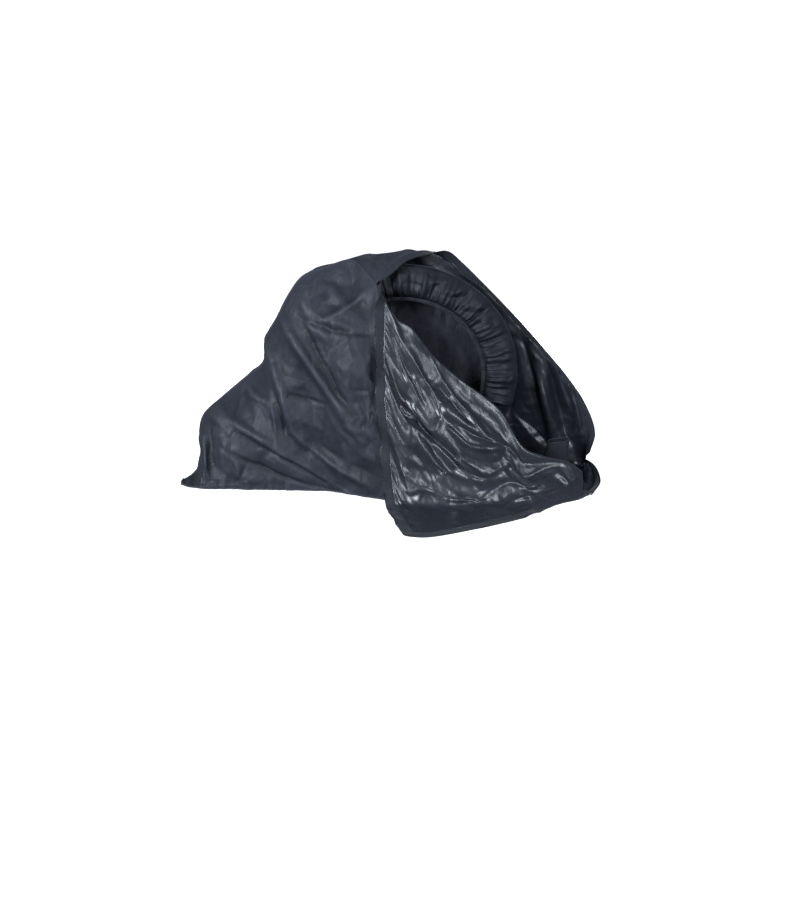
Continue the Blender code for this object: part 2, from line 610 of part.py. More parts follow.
def make_sleeve(material):
    """Small open-topped sleeve with a floor, narrower at its mouth."""
    points = []
    for rise in range(SLEEVE_RISE + 1):
        v = rise / SLEEVE_RISE
        half_x = (SLEEVE_FOOT[0] * (1 - v) + SLEEVE_TOP[0] * v) / 2
        half_y = (SLEEVE_FOOT[1] * (1 - v) + SLEEVE_TOP[1] * v) / 2
        for side in range(SLEEVE_SIDES):
            angle = side * 2 * math.pi / SLEEVE_SIDES
            c, s = math.cos(angle), math.sin(angle)
            x = SLEEVE_PLACE[0] + SLEEVE_LEAN * v + half_x * math.copysign(abs(c) ** SLEEVE_CORNER, c)
            y = SLEEVE_PLACE[1] + half_y * math.copysign(abs(s) ** SLEEVE_CORNER, s)
            points.append((x, y, 2 * CLOTH + v * SLEEVE_HEIGHT + SLEEVE_SLOPE * v * c))
    faces = []
    for rise in range(SLEEVE_RISE):
        for side in range(SLEEVE_SIDES):
            nxt = (side + 1) % SLEEVE_SIDES
            faces.append((rise * SLEEVE_SIDES + side, rise * SLEEVE_SIDES + nxt,
                          (rise + 1) * SLEEVE_SIDES + nxt, (rise + 1) * SLEEVE_SIDES + side))
    centre = len(points)
    points.append((*SLEEVE_PLACE, 2 * CLOTH))
    faces += [(nxt, side, centre) for side, nxt in
              ((i, (i + 1) % SLEEVE_SIDES) for i in range(SLEEVE_SIDES))]
    return add_solid("fork_sleeve", *thicken(points, faces, CLOTH), material)


def centre_on_floor(things):
    """Move everything so that the middle of the bounding box's underside is the origin."""
    corners = np.array([vertex.co for thing in things for vertex in thing.data.vertices])
    middle = (corners.min(axis=0) + corners.max(axis=0)) / 2
    for thing in things:
        for vertex in thing.data.vertices:
            vertex.co.x -= middle[0]
            vertex.co.y -= middle[1]
    print("origin moved by", middle[:2].round(5))


def main():
    for thing in list(bpy.data.objects):
        bpy.data.objects.remove(thing, do_unlink=True)
    near, wall, flap = make_near_panel(paint("near_cloth", (0.045, 0.048, 0.062), 0.55))
    far, grid, lip = make_far_panel(paint("far_cloth", (0.045, 0.048, 0.062), 0.50))
    things = [
        near,
        far,
        make_base(wall[:, 0], grid[:, 0], paint("base_cloth", (0.030, 0.032, 0.042), 0.45)),
        make_near_tape(flap, paint("near_tape", (0.018, 0.019, 0.026), 0.75)),
        make_far_tape(grid, lip, paint("far_tape", (0.018, 0.019, 0.026), 0.75)),
        make_pocket(paint("pocket_cloth", (0.035, 0.037, 0.050), 0.60)),
        make_pocket_back(paint("pocket_back_cloth", (0.030, 0.032, 0.044), 0.55)),
        make_band(paint("elastic", (0.012, 0.012, 0.016), 0.80)),
        make_sleeve(paint("sleeve_cloth", (0.022, 0.023, 0.030), 0.85)),
    ]
    centre_on_floor(things)


main()
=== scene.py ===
"""Bicycle cover: the looks of a thin nylon bag that stands open, its front corner folded down.

Metres, +Z up, +X towards the open front end, the near side faces -Y. Shapes are first made in the
tables' own place, as the solids are, and then moved into the frame by SHIFT.
"""
import math
from collections import namedtuple

import bpy
import numpy as np
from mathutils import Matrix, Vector
from mathutils.geometry import delaunay_2d_cdt


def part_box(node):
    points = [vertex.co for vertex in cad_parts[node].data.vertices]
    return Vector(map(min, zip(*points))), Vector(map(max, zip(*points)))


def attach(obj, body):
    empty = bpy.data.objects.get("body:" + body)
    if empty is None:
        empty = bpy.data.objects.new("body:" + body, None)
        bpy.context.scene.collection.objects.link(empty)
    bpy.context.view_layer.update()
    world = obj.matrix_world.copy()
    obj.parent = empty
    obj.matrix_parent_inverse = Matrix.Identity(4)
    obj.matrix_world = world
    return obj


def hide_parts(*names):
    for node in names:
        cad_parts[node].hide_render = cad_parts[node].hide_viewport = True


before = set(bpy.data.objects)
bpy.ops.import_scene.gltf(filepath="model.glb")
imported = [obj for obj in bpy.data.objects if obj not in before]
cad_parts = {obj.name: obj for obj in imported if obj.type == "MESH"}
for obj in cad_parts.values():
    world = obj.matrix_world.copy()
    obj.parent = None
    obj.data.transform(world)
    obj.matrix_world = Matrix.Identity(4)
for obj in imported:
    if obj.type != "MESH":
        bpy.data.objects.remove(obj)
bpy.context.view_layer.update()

# ---- cloth and trim ----
CLOTH = 0.0018           # thickness of a panel's solid
SKIN = 0.0007            # thickness of the cloth that shows
TRIM_SKIN = 0.0009       # thickness of a tape and of the sleeve
LIFT = 0.0002            # nothing lies lower than this
TAPE_WIDTH = 0.026       # one half of the open zip
TAPE_GAP = 0.0010
TAPE_LAP = 0.004         # the tape starts this far inside the panel's edge
TAPE_DIP = 0.0009        # and this much below it
TAPE_CROWN = 0.0004
TAPE_ROWS = 8
TAPE_STITCHES = (-0.0023, 0.0040)      # where the rows of stitches run, outward from the edge
TAPE_PITCH = 0.0036
SEAM_PITCH = 0.0042
HEM_PITCH = 0.0040
SEAM_STEP = 0.0022       # the far panel's edge lies this far behind the near panel's along the top seam
SEAM_STEPS = 330
FOOT_SEAM = 0.0026       # height of the cord in the seam at the foot
FOOT_STITCHES = 0.0062
FOLD_RADIUS = 0.008
SETTLE = 0.030
SWEEP = 2.6
BASE_REAR = -0.575
TAIL_REACH = 0.030       # the thin base reaches this much further into the flat tail

# ---- how finely each piece is divided ----
REAR_COLUMNS = 165
FRONT_COLUMNS = 40
WALL_ROWS = 118
FLAP_COLUMNS = 160       # four for each column of the wall behind it
TURN_ROWS = 6
FLAP_ROWS = 142
CALM_SHARE = 0.10        # on this part of the columns beside the zip's rear end the folds die away
FAR_REAR_COLUMNS = 130
FAR_COLUMNS = 164
FAR_ROWS = 120
HOOD_ROWS = 28
BASE_COLUMNS = 150
BASE_ROWS = 30
NOSE_ROWS = 14
CURL_STEPS = 60

# ---- where the folds of a panel start and die away ----
WALL_FADE = 0.15
FOOT_HOLD = 0.35
TURN_CLEAR = 0.10
EDGE_CLEAR = 0.05
FAR_FOOT_PART = 0.17
FAR_FOOT_HOLD = 0.3
FAR_CREST_PART = 0.33
LEAST_FADE = 0.06
FADE_POWER = 0.6
CURVE_STEPS = 20

# A table's numbers are in thousandths, so that its lengths are in millimetres.
PER_ONE = 1000

# ---- the near panel behind the zip: foot x y, top x y z, lean ----
REAR = np.array((
    (-626, 46, -626, 68, 6, 1000),
    (-606, 26, -606, 100, 12, 1000),
    (-588, 14, -586, 122, 32, 1400),
    (-562, 6, -576, 125, 100, 2400),
    (-525, 4, -577, 125, 150, 3400),
    (-480, 3, -560, 125, 200, 4000),
    (-430, 2, -505, 125, 250, 4000),
    (-380, 1, -430, 125, 313, 4000),
    (-335, -1, -378, 125, 356, 4000),
    (-290, -3, -370, 122, 425, 4000),
    (-245, -6, -333, 120, 492, 4000),
    (-205, -11, -298, 122, 556, 5000),
    (-165, -22, -255, 122, 610, 5000),
    (-125, -38, -190, 122, 634, 5000),
    (-85, -56, -122, 114, 656, 4000),
    (-48, -75, -80, 67, 636, 2400),
    (-12, -93, -43, 30, 599, 1500),
)) / PER_ONE

# ---- the near panel in front of it: foot x y, fold x y z, lean, where the flap lands y, free edge x y ----
FRONT = np.array((
    (-12, -93, -43, 30, 599, 1500, -150, 58, -350),
    (35, -84, 12, 20, 504, 1200, -155, 92, -354),
    (85, -76, 58, 20, 470, 1100, -160, 142, -334),
    (150, -72, 122, 20, 389, 1100, -162, 208, -300),
    (235, -68, 215, 20, 310, 1100, -160, 282, -258),
    (325, -62, 310, 14, 235, 1100, -148, 358, -207),
    (395, -50, 375, -8, 135, 1100, -128, 414, -152),
    (455, -36, 440, -8, 102, 1100, -100, 466, -106),
    (515, -14, 508, 0, 82, 1100, -62, 514, -74),
    (556, 6, 556, 12, 46, 1100, -26, 556, -38),
)) / PER_ONE
FLAP_INSET = 0.026
INSET_DEPTH = 0.040
INSET_POWER = 4
DROP_POINTS = 60

# ---- the far panel behind the zip, one row for each row of REAR, whose top it is sewn to: foot, crest ----
BACK = np.array((
    (-626, 92, -624, 80, 5),
    (-606, 128, -604, 113, 11),
    (-588, 158, -584, 139, 34),
    (-570, 182, -574, 147, 102),
    (-535, 205, -575, 147, 152),
    (-490, 220, -558, 147, 202),
    (-440, 230, -503, 147, 252),
    (-390, 235, -428, 147, 315),
    (-345, 240, -376, 147, 358),
    (-305, 240, -368, 144, 427),
    (-265, 240, -331, 142, 494),
    (-225, 240, -296, 144, 558),
    (-185, 240, -253, 144, 612),
    (-150, 240, -188, 144, 636),
    (-115, 240, -120, 139, 658),
    (-80, 240, -85, 136, 668),
    (-50, 240, -50, 137, 671),
)) / PER_ONE

# ---- the far panel in front of that: foot, crest, front edge, and 1000 where its tape is sewn on ----
FAR_FRONT = np.array((
    (-50, 240, -50, 137, 671, -43, 30, 599, 0),
    (0, 240, -3, 138, 676, -4, 48, 622, 1000),
    (50, 240, 45, 140, 680, 45, 78, 658, 1000),
    (105, 240, 100, 143, 679, 100, 104, 671, 1000),
    (160, 240, 154, 160, 655, 158, 130, 679, 1000),
    (225, 240, 212, 178, 600, 205, 164, 642, 1000),
    (290, 240, 276, 188, 556, 268, 186, 580, 1000),
    (350, 240, 340, 197, 486, 335, 196, 512, 1000),
    (410, 240, 404, 202, 418, 400, 202, 444, 1000),
    (470, 238, 470, 204, 344, 466, 202, 370, 1000),
    (525, 236, 536, 208, 262, 534, 208, 290, 1000),
    (565, 235, 588, 210, 180, 592, 208, 206, 1000),
    (588, 230, 604, 212, 96, 626, 206, 118, 1000),
    (596, 222, 602, 214, 34, 614, 208, 50, 1000),
)) / PER_ONE
FAR_EDGE_Y = 6           # column of the front edge's y
LEAST_HOOD = 0.008
FAR_LEAN = 2.0
HOOD_PUFF = 0.10
LEAST_SLANT = 0.6
WALL_STEPS = 30
HOOD_STEPS = 12

# ---- main folds: x z from, through and to, then width and height; a height below zero is a trough ----
WALL_FOLDS = (
    (-330, 500, -225, 369, -70, 150, 23, 20),
    (-262, 480, -175, 345, -85, 215, 18, -19),
    (-230, 455, -147, 320, -80, 230, 18, 14),
    (-362, 412, -318, 298, -268, 165, 23, 18),
    (-335, 330, -320, 240, -300, 165, 16, -15),
    (-530, 235, -378, 147, -80, -10, 30, 24),
    (-480, 190, -320, 108, -150, 20, 21, -19),
    (-500, 100, -330, 40, -180, 0, 25, -12),
    (-560, 170, -562, 90, -556, 20, 16, 11),
    (-528, 175, -520, 100, -515, 20, 18, -20),
    (-275, 506, -160, 476, -50, 463, 11, -8),
    (-60, 575, -130, 530, -185, 470, 18, 11),
    (-270, 606, -170, 596, -60, 582, 16, -11),
    (-380, 350, -420, 300, -470, 262, 18, -14),
)
# ---- on the folded corner: x and the way down instead of x z ----
FLAP_FOLDS = (
    (-20, 240, 40, 330, 220, 330, 25, 25),
    (10, 190, 90, 260, 300, 230, 21, -20),
    (10, 60, 110, 130, 300, 130, 23, 21),
    (130, 50, 220, 70, 360, 60, 21, -14),
    (0, 420, 60, 470, 200, 470, 28, 11),
    (300, 160, 400, 120, 500, 100, 18, 17),
)
FAR_FOLDS = (
    (420, 380, 460, 240, 500, 60, 18, 21),
    (470, 360, 510, 240, 550, 80, 15, -21),
    (505, 330, 555, 220, 585, 90, 15, 18),
    (250, 590, 300, 400, 360, 120, 26, -21),
    (150, 640, 170, 400, 220, 100, 29, 21),
    (-20, 640, -10, 400, 40, 100, 29, -18),
    (-200, 600, -170, 350, -120, 60, 31, 21),
    (-350, 400, -330, 250, -300, 50, 26, -21),
    (-500, 220, -480, 140, -450, 30, 24, 18),
)

# ---- crisp folds and packing creases, which only the thin cloth shows ----
WALL_CREASES = (
    (-330, 500, -225, 369, -80, 165, 17, 7),
    (-250, 480, -165, 335, -95, 225, 13, -8),
    (-214, 428, -147, 309, -95, 225, 13, 7),
    (-361, 413, -318, 298, -285, 180, 16, 8),
    (-285, 180, -190, 100, -40, 25, 17, 6),
    (-528, 232, -378, 147, -130, 4, 21, 8),
    (-474, 190, -336, 116, -194, 32, 12, -8),
    (-503, 130, -332, 49, -168, 4, 12, -5),
    (-275, 506, -160, 474, -60, 463, 7, -4),
    (-302, 292, -240, 275, -180, 265, 7, -4),
    (-458, 292, -459, 245, -459, 193, 7, -4),
    (-60, 590, -122, 540, -200, 500, 10, 4),
    (-440, 300, -400, 270, -360, 255, 11, 5),
    (-345, 245, -338, 200, -335, 165, 8, 4),
    (-315, 235, -310, 200, -312, 170, 8, -4),
    (-455, 85, -450, 55, -445, 25, 8, 3),
    (-425, 80, -440, 50, -452, 20, 8, -3),
    (-100, 235, -120, 215, -95, 195, 11, 5),
    (-85, 260, -75, 230, -85, 205, 8, -4),
    (-105, 315, -85, 313, -65, 312, 7, -3),
    (-534, 164, -531, 95, -530, 26, 13, -8),
    (-550, 150, -548, 100, -545, 60, 11, 5),
)
FLAP_CREASES = (
    (-18, 265, -4, 288, 18, 297, 18, 10),
    (15, 300, 66, 308, 117, 290, 26, 13),
    (112, 285, 170, 286, 221, 308, 24, 14),
    (4, 282, 57, 278, 113, 258, 14, -13),
    (46, 242, 84, 246, 118, 243, 14, 12),
    (10, 120, 40, 162, 75, 205, 14, 10),
    (28, 130, 58, 160, 90, 185, 12, -8),
    (141, 58, 124, 40, 110, 20, 12, 6),
    (141, 58, 127, 86, 110, 118, 14, 8),
    (138, 58, 202, 93, 264, 134, 24, 13),
    (258, 136, 320, 113, 374, 44, 20, 13),
    (142, 85, 195, 108, 246, 132, 16, -11),
    (140, 175, 130, 160, 122, 140, 10, 6),
    (140, 175, 158, 137, 175, 96, 14, 7),
    (140, 175, 127, 215, 118, 247, 14, 8),
    (161, 190, 184, 194, 210, 199, 14, 13),
    (200, 203, 274, 166, 344, 89, 30, 16),
    (335, 98, 432, 36, 518, 22, 28, 13),
    (185, 158, 266, 143, 340, 100, 15, -13),
    (188, 240, 202, 262, 234, 262, 13, 10),
    (206, 286, 245, 278, 290, 234, 13, 10),
    (286, 250, 318, 189, 363, 92, 18, 12),
    (250, 285, 390, 95, 488, 30, 22, -15),
    (255, 345, 365, 175, 478, 52, 24, 13),
    (470, 46, 493, 68, 512, 86, 14, 9),
    (505, 86, 530, 46, 548, 18, 14, 9),
    (312, 350, 398, 180, 486, 98, 16, 10),
    (25, 535, 94, 464, 158, 424, 20, 6),
    (155, 426, 193, 402, 228, 376, 16, 6),
)
FAR_CREASES = (
    (445, 400, 500, 250, 545, 90, 17, -16),
    (500, 370, 550, 240, 585, 110, 15, 15),
    (470, 395, 520, 260, 560, 150, 10, 10),
    (390, 420, 440, 250, 480, 80, 20, -13),
    (520, 270, 552, 190, 560, 100, 12, -12),
    (-100, 500, 60, 440, 240, 430, 9, 4),
    (-420, 200, -150, 190, 150, 200, 9, 4),
    (80, 620, 85, 350, 90, 60, 9, 4),
    (-250, 500, -245, 300, -240, 60, 9, -4),
    (-300, 450, -120, 330, 50, 120, 26, 9),
    (0, 600, 120, 420, 300, 200, 26, -9),
)
CRISP = 0.0012           # radius of the edge of a crisp fold
PEAK_PART = 0.40         # part of its height that stands in a narrow peak along that edge
PEAK_WIDTH = 0.32        # width of the peak, as a part of the fold's
WALL_RISE = 2.5          # the wall's creases are this much higher than its table says

# ---- crumples ----
Facets = namedtuple("Facets", "turn lengthen cell height seed")
WALL_FACETS = Facets(-0.95, 1.7, 0.052, 0.0075, 11)
WALL_FINE = Facets(-0.80, 1.6, 0.022, 0.0040, 12)
FLAP_FACETS = Facets(-0.5, 1.2, 0.070, 0.0080, 21)
FLAP_FINE = Facets(0.6, 1.2, 0.024, 0.0030, 22)
FAR_FACETS = Facets(-1.1, 2.2, 0.042, 0.0048, 31)
FAR_FINE = Facets(0.4, 1.6, 0.018, 0.0018, 32)
RING_FACETS = Facets(0.3, 1.4, 0.018, 0.0044, 41)
DISC_FACETS = Facets(0.5, 2.0, 0.050, 0.0022, 42)
BASE_FACETS = Facets(0.3, 2.0, 0.06, 0.0016, 51)
NOSE_FACETS = Facets(1.2, 1.6, 0.020, 0.06, 52)
SLEEVE_FACETS = Facets(0.8, 1.5, 0.018, 0.0010, 61)
FACET_JITTER = 0.38      # how far a facet's corner leaves its place, as a part of a cell
WALL_PATCHES = (0.085, 15)             # size of a crumpled patch, and seed
FLAP_PATCHES = (0.070, 24)
PATCH_MEAN = 0.45
PATCH_SPREAD = 0.55
Puckers = namedtuple("Puckers", "length reach height seed")
TOP_PUCKERS = Puckers(0.042, 0.030, 0.0022, 13)
WIDE_PUCKERS = Puckers(0.034, 0.026, 0.0014, 14)
FLAP_PUCKERS = Puckers(0.021, 0.018, 0.0030, 23)
PUCKER_START = 0.007     # beside the tape the folded corner's puckers grow over this distance
PUCKER_BEND = 1.6
PUCKER_PARTS = (1.0, 1.7, 2.6)
PUCKER_WANDER = 4.3
ZIP_CALM = 9             # so many columns each way of the zip's end have no puckers
CALM_PLACE = (0.10, 0.66)              # smooth part of the folded corner: x and the way down
CALM_SIZE = (0.09, 0.13)
CALM_LOSS = 0.75
CLEAR_POWER = 0.7

# ---- settling ----
SOFT_SHARE = 0.6         # part of the solids' soft folds that stays under the crisp ones
SHEAR = 0.35             # how much a sheet resists a skew, next to a stretch
STEP = 0.9
GOAL = 0.004             # how firmly it is held near its base
SHARE_OUT = 2            # over this many cells each way the sheet's wrinkles share their cloth
LEAST_SLACK, MOST_SLACK = -0.05, 0.3
ROUNDS = ((2, 12, 0.004), (1, 22, 0.016))      # stride, steps and stiffness of each round
WALL_CAP = 0.016         # how far a point of a panel may move
FLAP_CAP = (0.003, 0.017)
FAR_CAP = 0.013
HOOD_CAP = 0.6
SEAM_FREE = 0.2
HELD_COLUMNS = 2
WALL_EASE = (3.0, 4.0)   # rows over which a panel comes free of its foot and of its top
FAR_EASE = (8.0, 10.0)
CREST_EASE = 10.0
WALL_TOP_V = 0.7         # where the folded corner's threads start, counted from the foot

WALL_HOLD = 1.6          # how soon a fold is full where the wall's folds fade
CAP_HOLD = 1.5           # how soon a point may move as far as anywhere
LEAST_CAP = 0.1
LEAST_FAR_CAP = 0.25
FLAP_FREE = 3.0          # how soon the folded corner is free inside its border
SEAM_END = 3             # so many columns each way of the top seam's end are held
FAR_ROW_V = 0.0055       # length of cloth to a row of the far panel

# ---- tapes, seams and the sleeve's hem ----
TAPE_REACH = 5           # a border's outward way is found from so many columns or rows inside
TAPE_SMOOTH = 6
NEAR_UP_SMOOTH, FAR_UP_SMOOTH = 4, 3
CORNER_STEPS = 11
CORNER_ROUND = 0.0004
TAPE_START = 0.3         # the far tape starts where its panel's lip is this part of its width
STITCH_OVER = 0.0006     # stitches lie this much above the near tape
FAR_OVER, FAR_UNDER = 0.0008, 0.0016      # and this much above and below the far one
TOP_STEPS = 300
TOP_SEAM = (0.0034, 0.0019)
FOOT_CORD = (0.0017, 0.0024)
FOOT_OVER = 0.0010
HEM = (0.0013, 0.0032)
HEM_ROW = -4             # the hem's stitches run on this row from the sleeve's mouth
HEM_OVER = 0.0008
SLEEVE_FLAT = (0.03, 0.025)               # length of cloth to a radian, for its crumples and its threads

# ---- stitches and coils ----
STITCH_SIZE = 0.00042
STITCH_SIDES = 5
STITCH_SINK = 0.6
STITCH_WIDE = 1.2
STITCH = ((0.08, 0.35), (0.28, 1.0), (0.72, 1.0), (0.92, 0.35))       # place and thickness along a bead
COIL_HEIGHT = 0.0022
COIL_PITCH = 0.0021
COIL_BASE = 0.45
COIL_NARROW = 0.7
COIL_INSET = 0.0012
COIL_SHAPE = ((-0.0026, 0.30), (-0.0010, 0.42), (0.0016, 0.42), (0.0024, 0.20))

# ---- the pocket ----
POCKET_CENTRE = (0.030, 0.108, 0.3245)
POCKET_SQUASH = 0.945
GATHERS = 24
GATHER_PINCH = 0.25
POCKET_AROUND = 560
RING_ROWS = 52
DISC_ROWS = 44
DISC_SPARSE = 3          # the disc has a third of the ring's columns
MIDDLE_ROWS = 26
PLEAT_DEPTH = 0.0062
PLEATS = ((71, 2.6, 0.4, 1.0, 1.6), (113, 3.7, 2.1, 0.9, 1.1), (173, 4.6, 4.0, 0.6, 0.7),
          (41, 2.3, 5.2, 0.5, 2.2))
PLEAT_MEAN = 1.2
PLEAT_START = (14, 0.25)  # how soon a pleat is full, and its least part at the mouth
AROUND_V, OUTWARD_V = 0.0032, 0.0022      # length of cloth to a step round the ring and to a row outward
BAND_SIDES = 14
BAND_CLEAR = 0.0001
RIM_CORD = (0.0016, 0.0022)
RIM_BEHIND = 0.0009
BAND_WIDTH = 0.011
BAND_THICK = 0.0028
BAND_GAP = 0.0012
BAND_STEPS = 720
BAND_STITCHES = (0.0042, -0.0036)
Ring = namedtuple("Ring", "radius depth gather")
POCKET_FRONT = (
    Ring(0.246, -0.020, 0.0050),
    Ring(0.262, -0.028, 0.0070),
    Ring(0.288, -0.031, 0.0070),
    Ring(0.313, -0.025, 0.0055),
    Ring(0.332, -0.010, 0.0030),
    Ring(0.338, 0.004, 0.0015),
)
POCKET_BACK = (
    Ring(0.3375, 0.0058, 0.0012),
    Ring(0.327, 0.018, 0.0005),
    Ring(0.300, 0.026, 0.0000),
    Ring(0.150, 0.027, 0.0000),
)
MOUTH, RIM = POCKET_FRONT[0], POCKET_FRONT[-1]
NEARWARD, UPWARD = np.array([0.0, -1.0, 0.0]), np.array([0.0, 0.0, 1.0])

# ---- the base ----
BASE_INSET = 0.0004
BASE_LIFT = 0.0012
BASE_CRUMPLE = (0.0008, 0.004)         # added to the crumples, and the most that is left
NOSE_OUT = (0.001, 0.002, 0.0)         # the nose's edge lies this far past the curled tape's
NOSE_HEIGHT = 0.030
NOSE_ROUGH = 6.0
NOSE_LIFTED = (0.28, 0.55, 0.25)       # how much the far side's edge is lifted, from where and over what part

# ---- sleeve that stands on the base ----
SLEEVE_PLACE = (0.488, 0.110)
SLEEVE_FOOT = (0.096, 0.060)
SLEEVE_TOP = (0.060, 0.044)
SLEEVE_HEIGHT = 0.114
SLEEVE_LEAN = 0.012
SLEEVE_SLOPE = 0.006
SLEEVE_CORNER = 0.6
SLEEVE_SLACK = 0.0016
SLEEVE_SIDES = 96
SLEEVE_ROWS = 44

# ---- the near tape past the folded corner, round the front of the base: x y z, outward x y z ----
CURL = np.array((
    (574, -20, 4, 600, -700, 350),
    (592, 10, 6, 700, -400, 650),
    (603, 50, 8, 450, -100, 900),
    (608, 95, 8, 300, 0, 950),
    (608, 140, 7, 200, 100, 970),
    (604, 172, 6, 100, 100, 980),
    (597, 194, 5, 50, 250, 960),
)) / PER_ONE


# ---- tables into grids, as for the solids ----
def spline(rows, count):
    """Points at even steps on a smooth curve through the rows of a table."""
    table = np.array(rows, dtype=float)
    last = len(table) - 1
    padded = np.vstack([2 * table[0] - table[1], table, 2 * table[-1] - table[-2]])
    steps = np.linspace(0.0, last, count + 1)
    index = np.minimum(steps.astype(int), last - 1)
    t = (steps - index)[:, None]
    a, b, c, d = (padded[index + shift] for shift in range(4))
    square, cube = 2 * a - 5 * b + 4 * c - d, 3 * b - a - 3 * c + d
    return 0.5 * (2 * b + (c - a) * t + square * t ** 2 + cube * t ** 3)


def lengths_along(path):
    """How far each point of a path is from its start, measured along it."""
    return np.concatenate([[0.0], np.cumsum(np.linalg.norm(np.diff(path, axis=0), axis=1))])


def read_at(wanted, along, values):
    """Rows of values read at the wanted distances."""
    return np.stack([np.interp(wanted, along, column) for column in np.asarray(values).T], axis=1)


def evenly(path, count, start=0.0, end=None):
    """Points at even distances along a path, from start to end, both measured along it."""
    along = lengths_along(path)
    return read_at(np.linspace(start, along[-1] if end is None else end, count + 1), along, path)


def bowed(t, start, through, end):
    """A curve's coordinate from start to end that passes through another value half way."""
    return (1 - t) ** 2 * start + 2 * t * (1 - t) * (2 * through - (start + end) / 2) + t ** 2 * end


def fold_height(folds, across, along, crisp=False):
    """Height of a table's ridges and troughs at each place; a crisp one has an edge, not a round top."""
    height = np.zeros_like(across)
    t = np.linspace(0.0, 1.0, CURVE_STEPS + 1)
    for fold in folds:
        x0, z0, x1, z1, x2, z2, width, rise = (part / PER_ONE for part in fold)
        curve_x, curve_z = bowed(t, x0, x1, x2), bowed(t, z0, z1, z2)
        nearest = np.full(across.shape, np.inf)
        place = np.zeros_like(across)
        for step in range(CURVE_STEPS):
            ax, az = curve_x[step], curve_z[step]
            bx, bz = curve_x[step + 1] - ax, curve_z[step + 1] - az
            s = np.clip(((across - ax) * bx + (along - az) * bz) / (bx * bx + bz * bz), 0.0, 1.0)
            apart = (across - ax - s * bx) ** 2 + (along - az - s * bz) ** 2
            closer = apart < nearest
            nearest = np.where(closer, apart, nearest)
            place = np.where(closer, t[step] + s / CURVE_STEPS, place)
        fade = np.sin(math.pi * np.clip(place, LEAST_FADE, 1 - LEAST_FADE)) ** FADE_POWER
        if crisp:
            away = (np.sqrt(nearest + CRISP ** 2) - CRISP) / width
            tent, peak = np.clip(1 - away, 0.0, None), np.clip(1 - away / PEAK_WIDTH, 0.0, None)
            shape = (1 - PEAK_PART) * tent + PEAK_PART * peak
        else:
            shape = np.exp(-nearest / width ** 2)
        height += rise * fade * shape
    return height


def wall_profile(foot, top, rows, lean):
    """A side wall: it rises almost upright from its foot and leans to its top."""
    v = np.linspace(0.0, 1.0, rows + 1)
    x = foot[0] + (top[0] - foot[0]) * v
    y = foot[1] + (top[1] - foot[1]) * v ** lean
    return np.stack([x, y, top[2] * v], axis=1)


def near_wall():
    """Grid of the near panel's wall, and how much of a fold is left at each of its points."""
    rows = np.vstack([spline(REAR, REAR_COLUMNS), spline(FRONT, FRONT_COLUMNS)[1:, :6]])
    grid = np.array([wall_profile(row[:2], row[2:5], WALL_ROWS, row[5]) for row in rows])
    v = np.linspace(0.0, 1.0, WALL_ROWS + 1)
    hold = np.clip(v / WALL_FADE, FOOT_HOLD, 1.0) * np.clip((1 - v) / WALL_FADE, 0.0, 1.0)
    place = (np.arange(len(grid)) - REAR_COLUMNS) / REAR_COLUMNS
    away = np.clip(np.abs(place) / CALM_SHARE, 0.0, 1.0)
    hold = hold * away[:, None]
    grid[..., 1] -= SOFT_SHARE * fold_height(WALL_FOLDS, grid[..., 0], grid[..., 2]) * hold
    return grid, hold


def flap_column(row, across):
    """One line down the folded corner, from the fold's front to the free edge."""
    fold_x, fold_y, fold_z, land_y, edge_x, edge_y = [*row[2:5], *row[6:]]
    start_y = fold_y - 2 * FOLD_RADIUS
    y = np.linspace(start_y, min(edge_y, land_y), DROP_POINTS)
    line = fold_z * (y - land_y) / (start_y - land_y)
    soft = 0.5 * (line + np.sqrt(line ** 2 + SETTLE ** 2))
    w = np.linspace(0.0, 1.0, DROP_POINTS)
    z = np.maximum(soft - (soft[0] - fold_z) * (1 - w) ** 3, 0.0) + CLOTH / 2
    path = evenly(np.stack([np.zeros(DROP_POINTS), y, z], axis=1), DROP_POINTS - 1)
    ramp = np.clip((fold_z - path[:, 2]) / INSET_DEPTH, 0.0, 1.0)
    inset = FLAP_INSET * ramp * (1 - across) ** INSET_POWER * (1 - w)
    path[:, 0] = fold_x + (edge_x - fold_x) * w ** SWEEP + inset
    return path


def front_flap():
    """Grid of the folded corner: the turn over the fold, then down to the free edge."""
    columns = []
    for number, row in enumerate(spline(FRONT, FLAP_COLUMNS)):
        x, y, z = row[2:5]
        angles = np.linspace(0.0, math.pi, TURN_ROWS + 1)[1:-1]
        turn = [(x, y - FOLD_RADIUS + FOLD_RADIUS * math.cos(a), z + FOLD_RADIUS * math.sin(a))
                for a in angles]
        columns.append(np.vstack([turn, evenly(flap_column(row, number / FLAP_COLUMNS), FLAP_ROWS)]))
    return np.array(columns)


def grid_normals(grid):
    """Unit normals of a grid of points."""
    normal = np.cross(np.gradient(grid, axis=0), np.gradient(grid, axis=1))
    return normal / np.maximum(np.linalg.norm(normal, axis=2, keepdims=True), 1e-9)


def distance_down(grid):
    """How far each point is from the first row of its grid, measured on it."""
    steps = np.linalg.norm(np.diff(grid, axis=1), axis=2)
    return np.concatenate([np.zeros((len(grid), 1)), np.cumsum(steps, axis=1)], axis=1)


def far_sections():
    """Sections of the far panel from tail to front; behind the zip its edge follows the near panel's."""
    rear = np.column_stack([BACK, REAR[:, 2:5] + (0.0, SEAM_STEP, 0.0), np.zeros(len(REAR))])
    front = FAR_FRONT.copy()
    front[:, FAR_EDGE_Y] += SEAM_STEP
    return np.vstack([spline(rear, FAR_REAR_COLUMNS), spline(front, FAR_COLUMNS)[1:]])


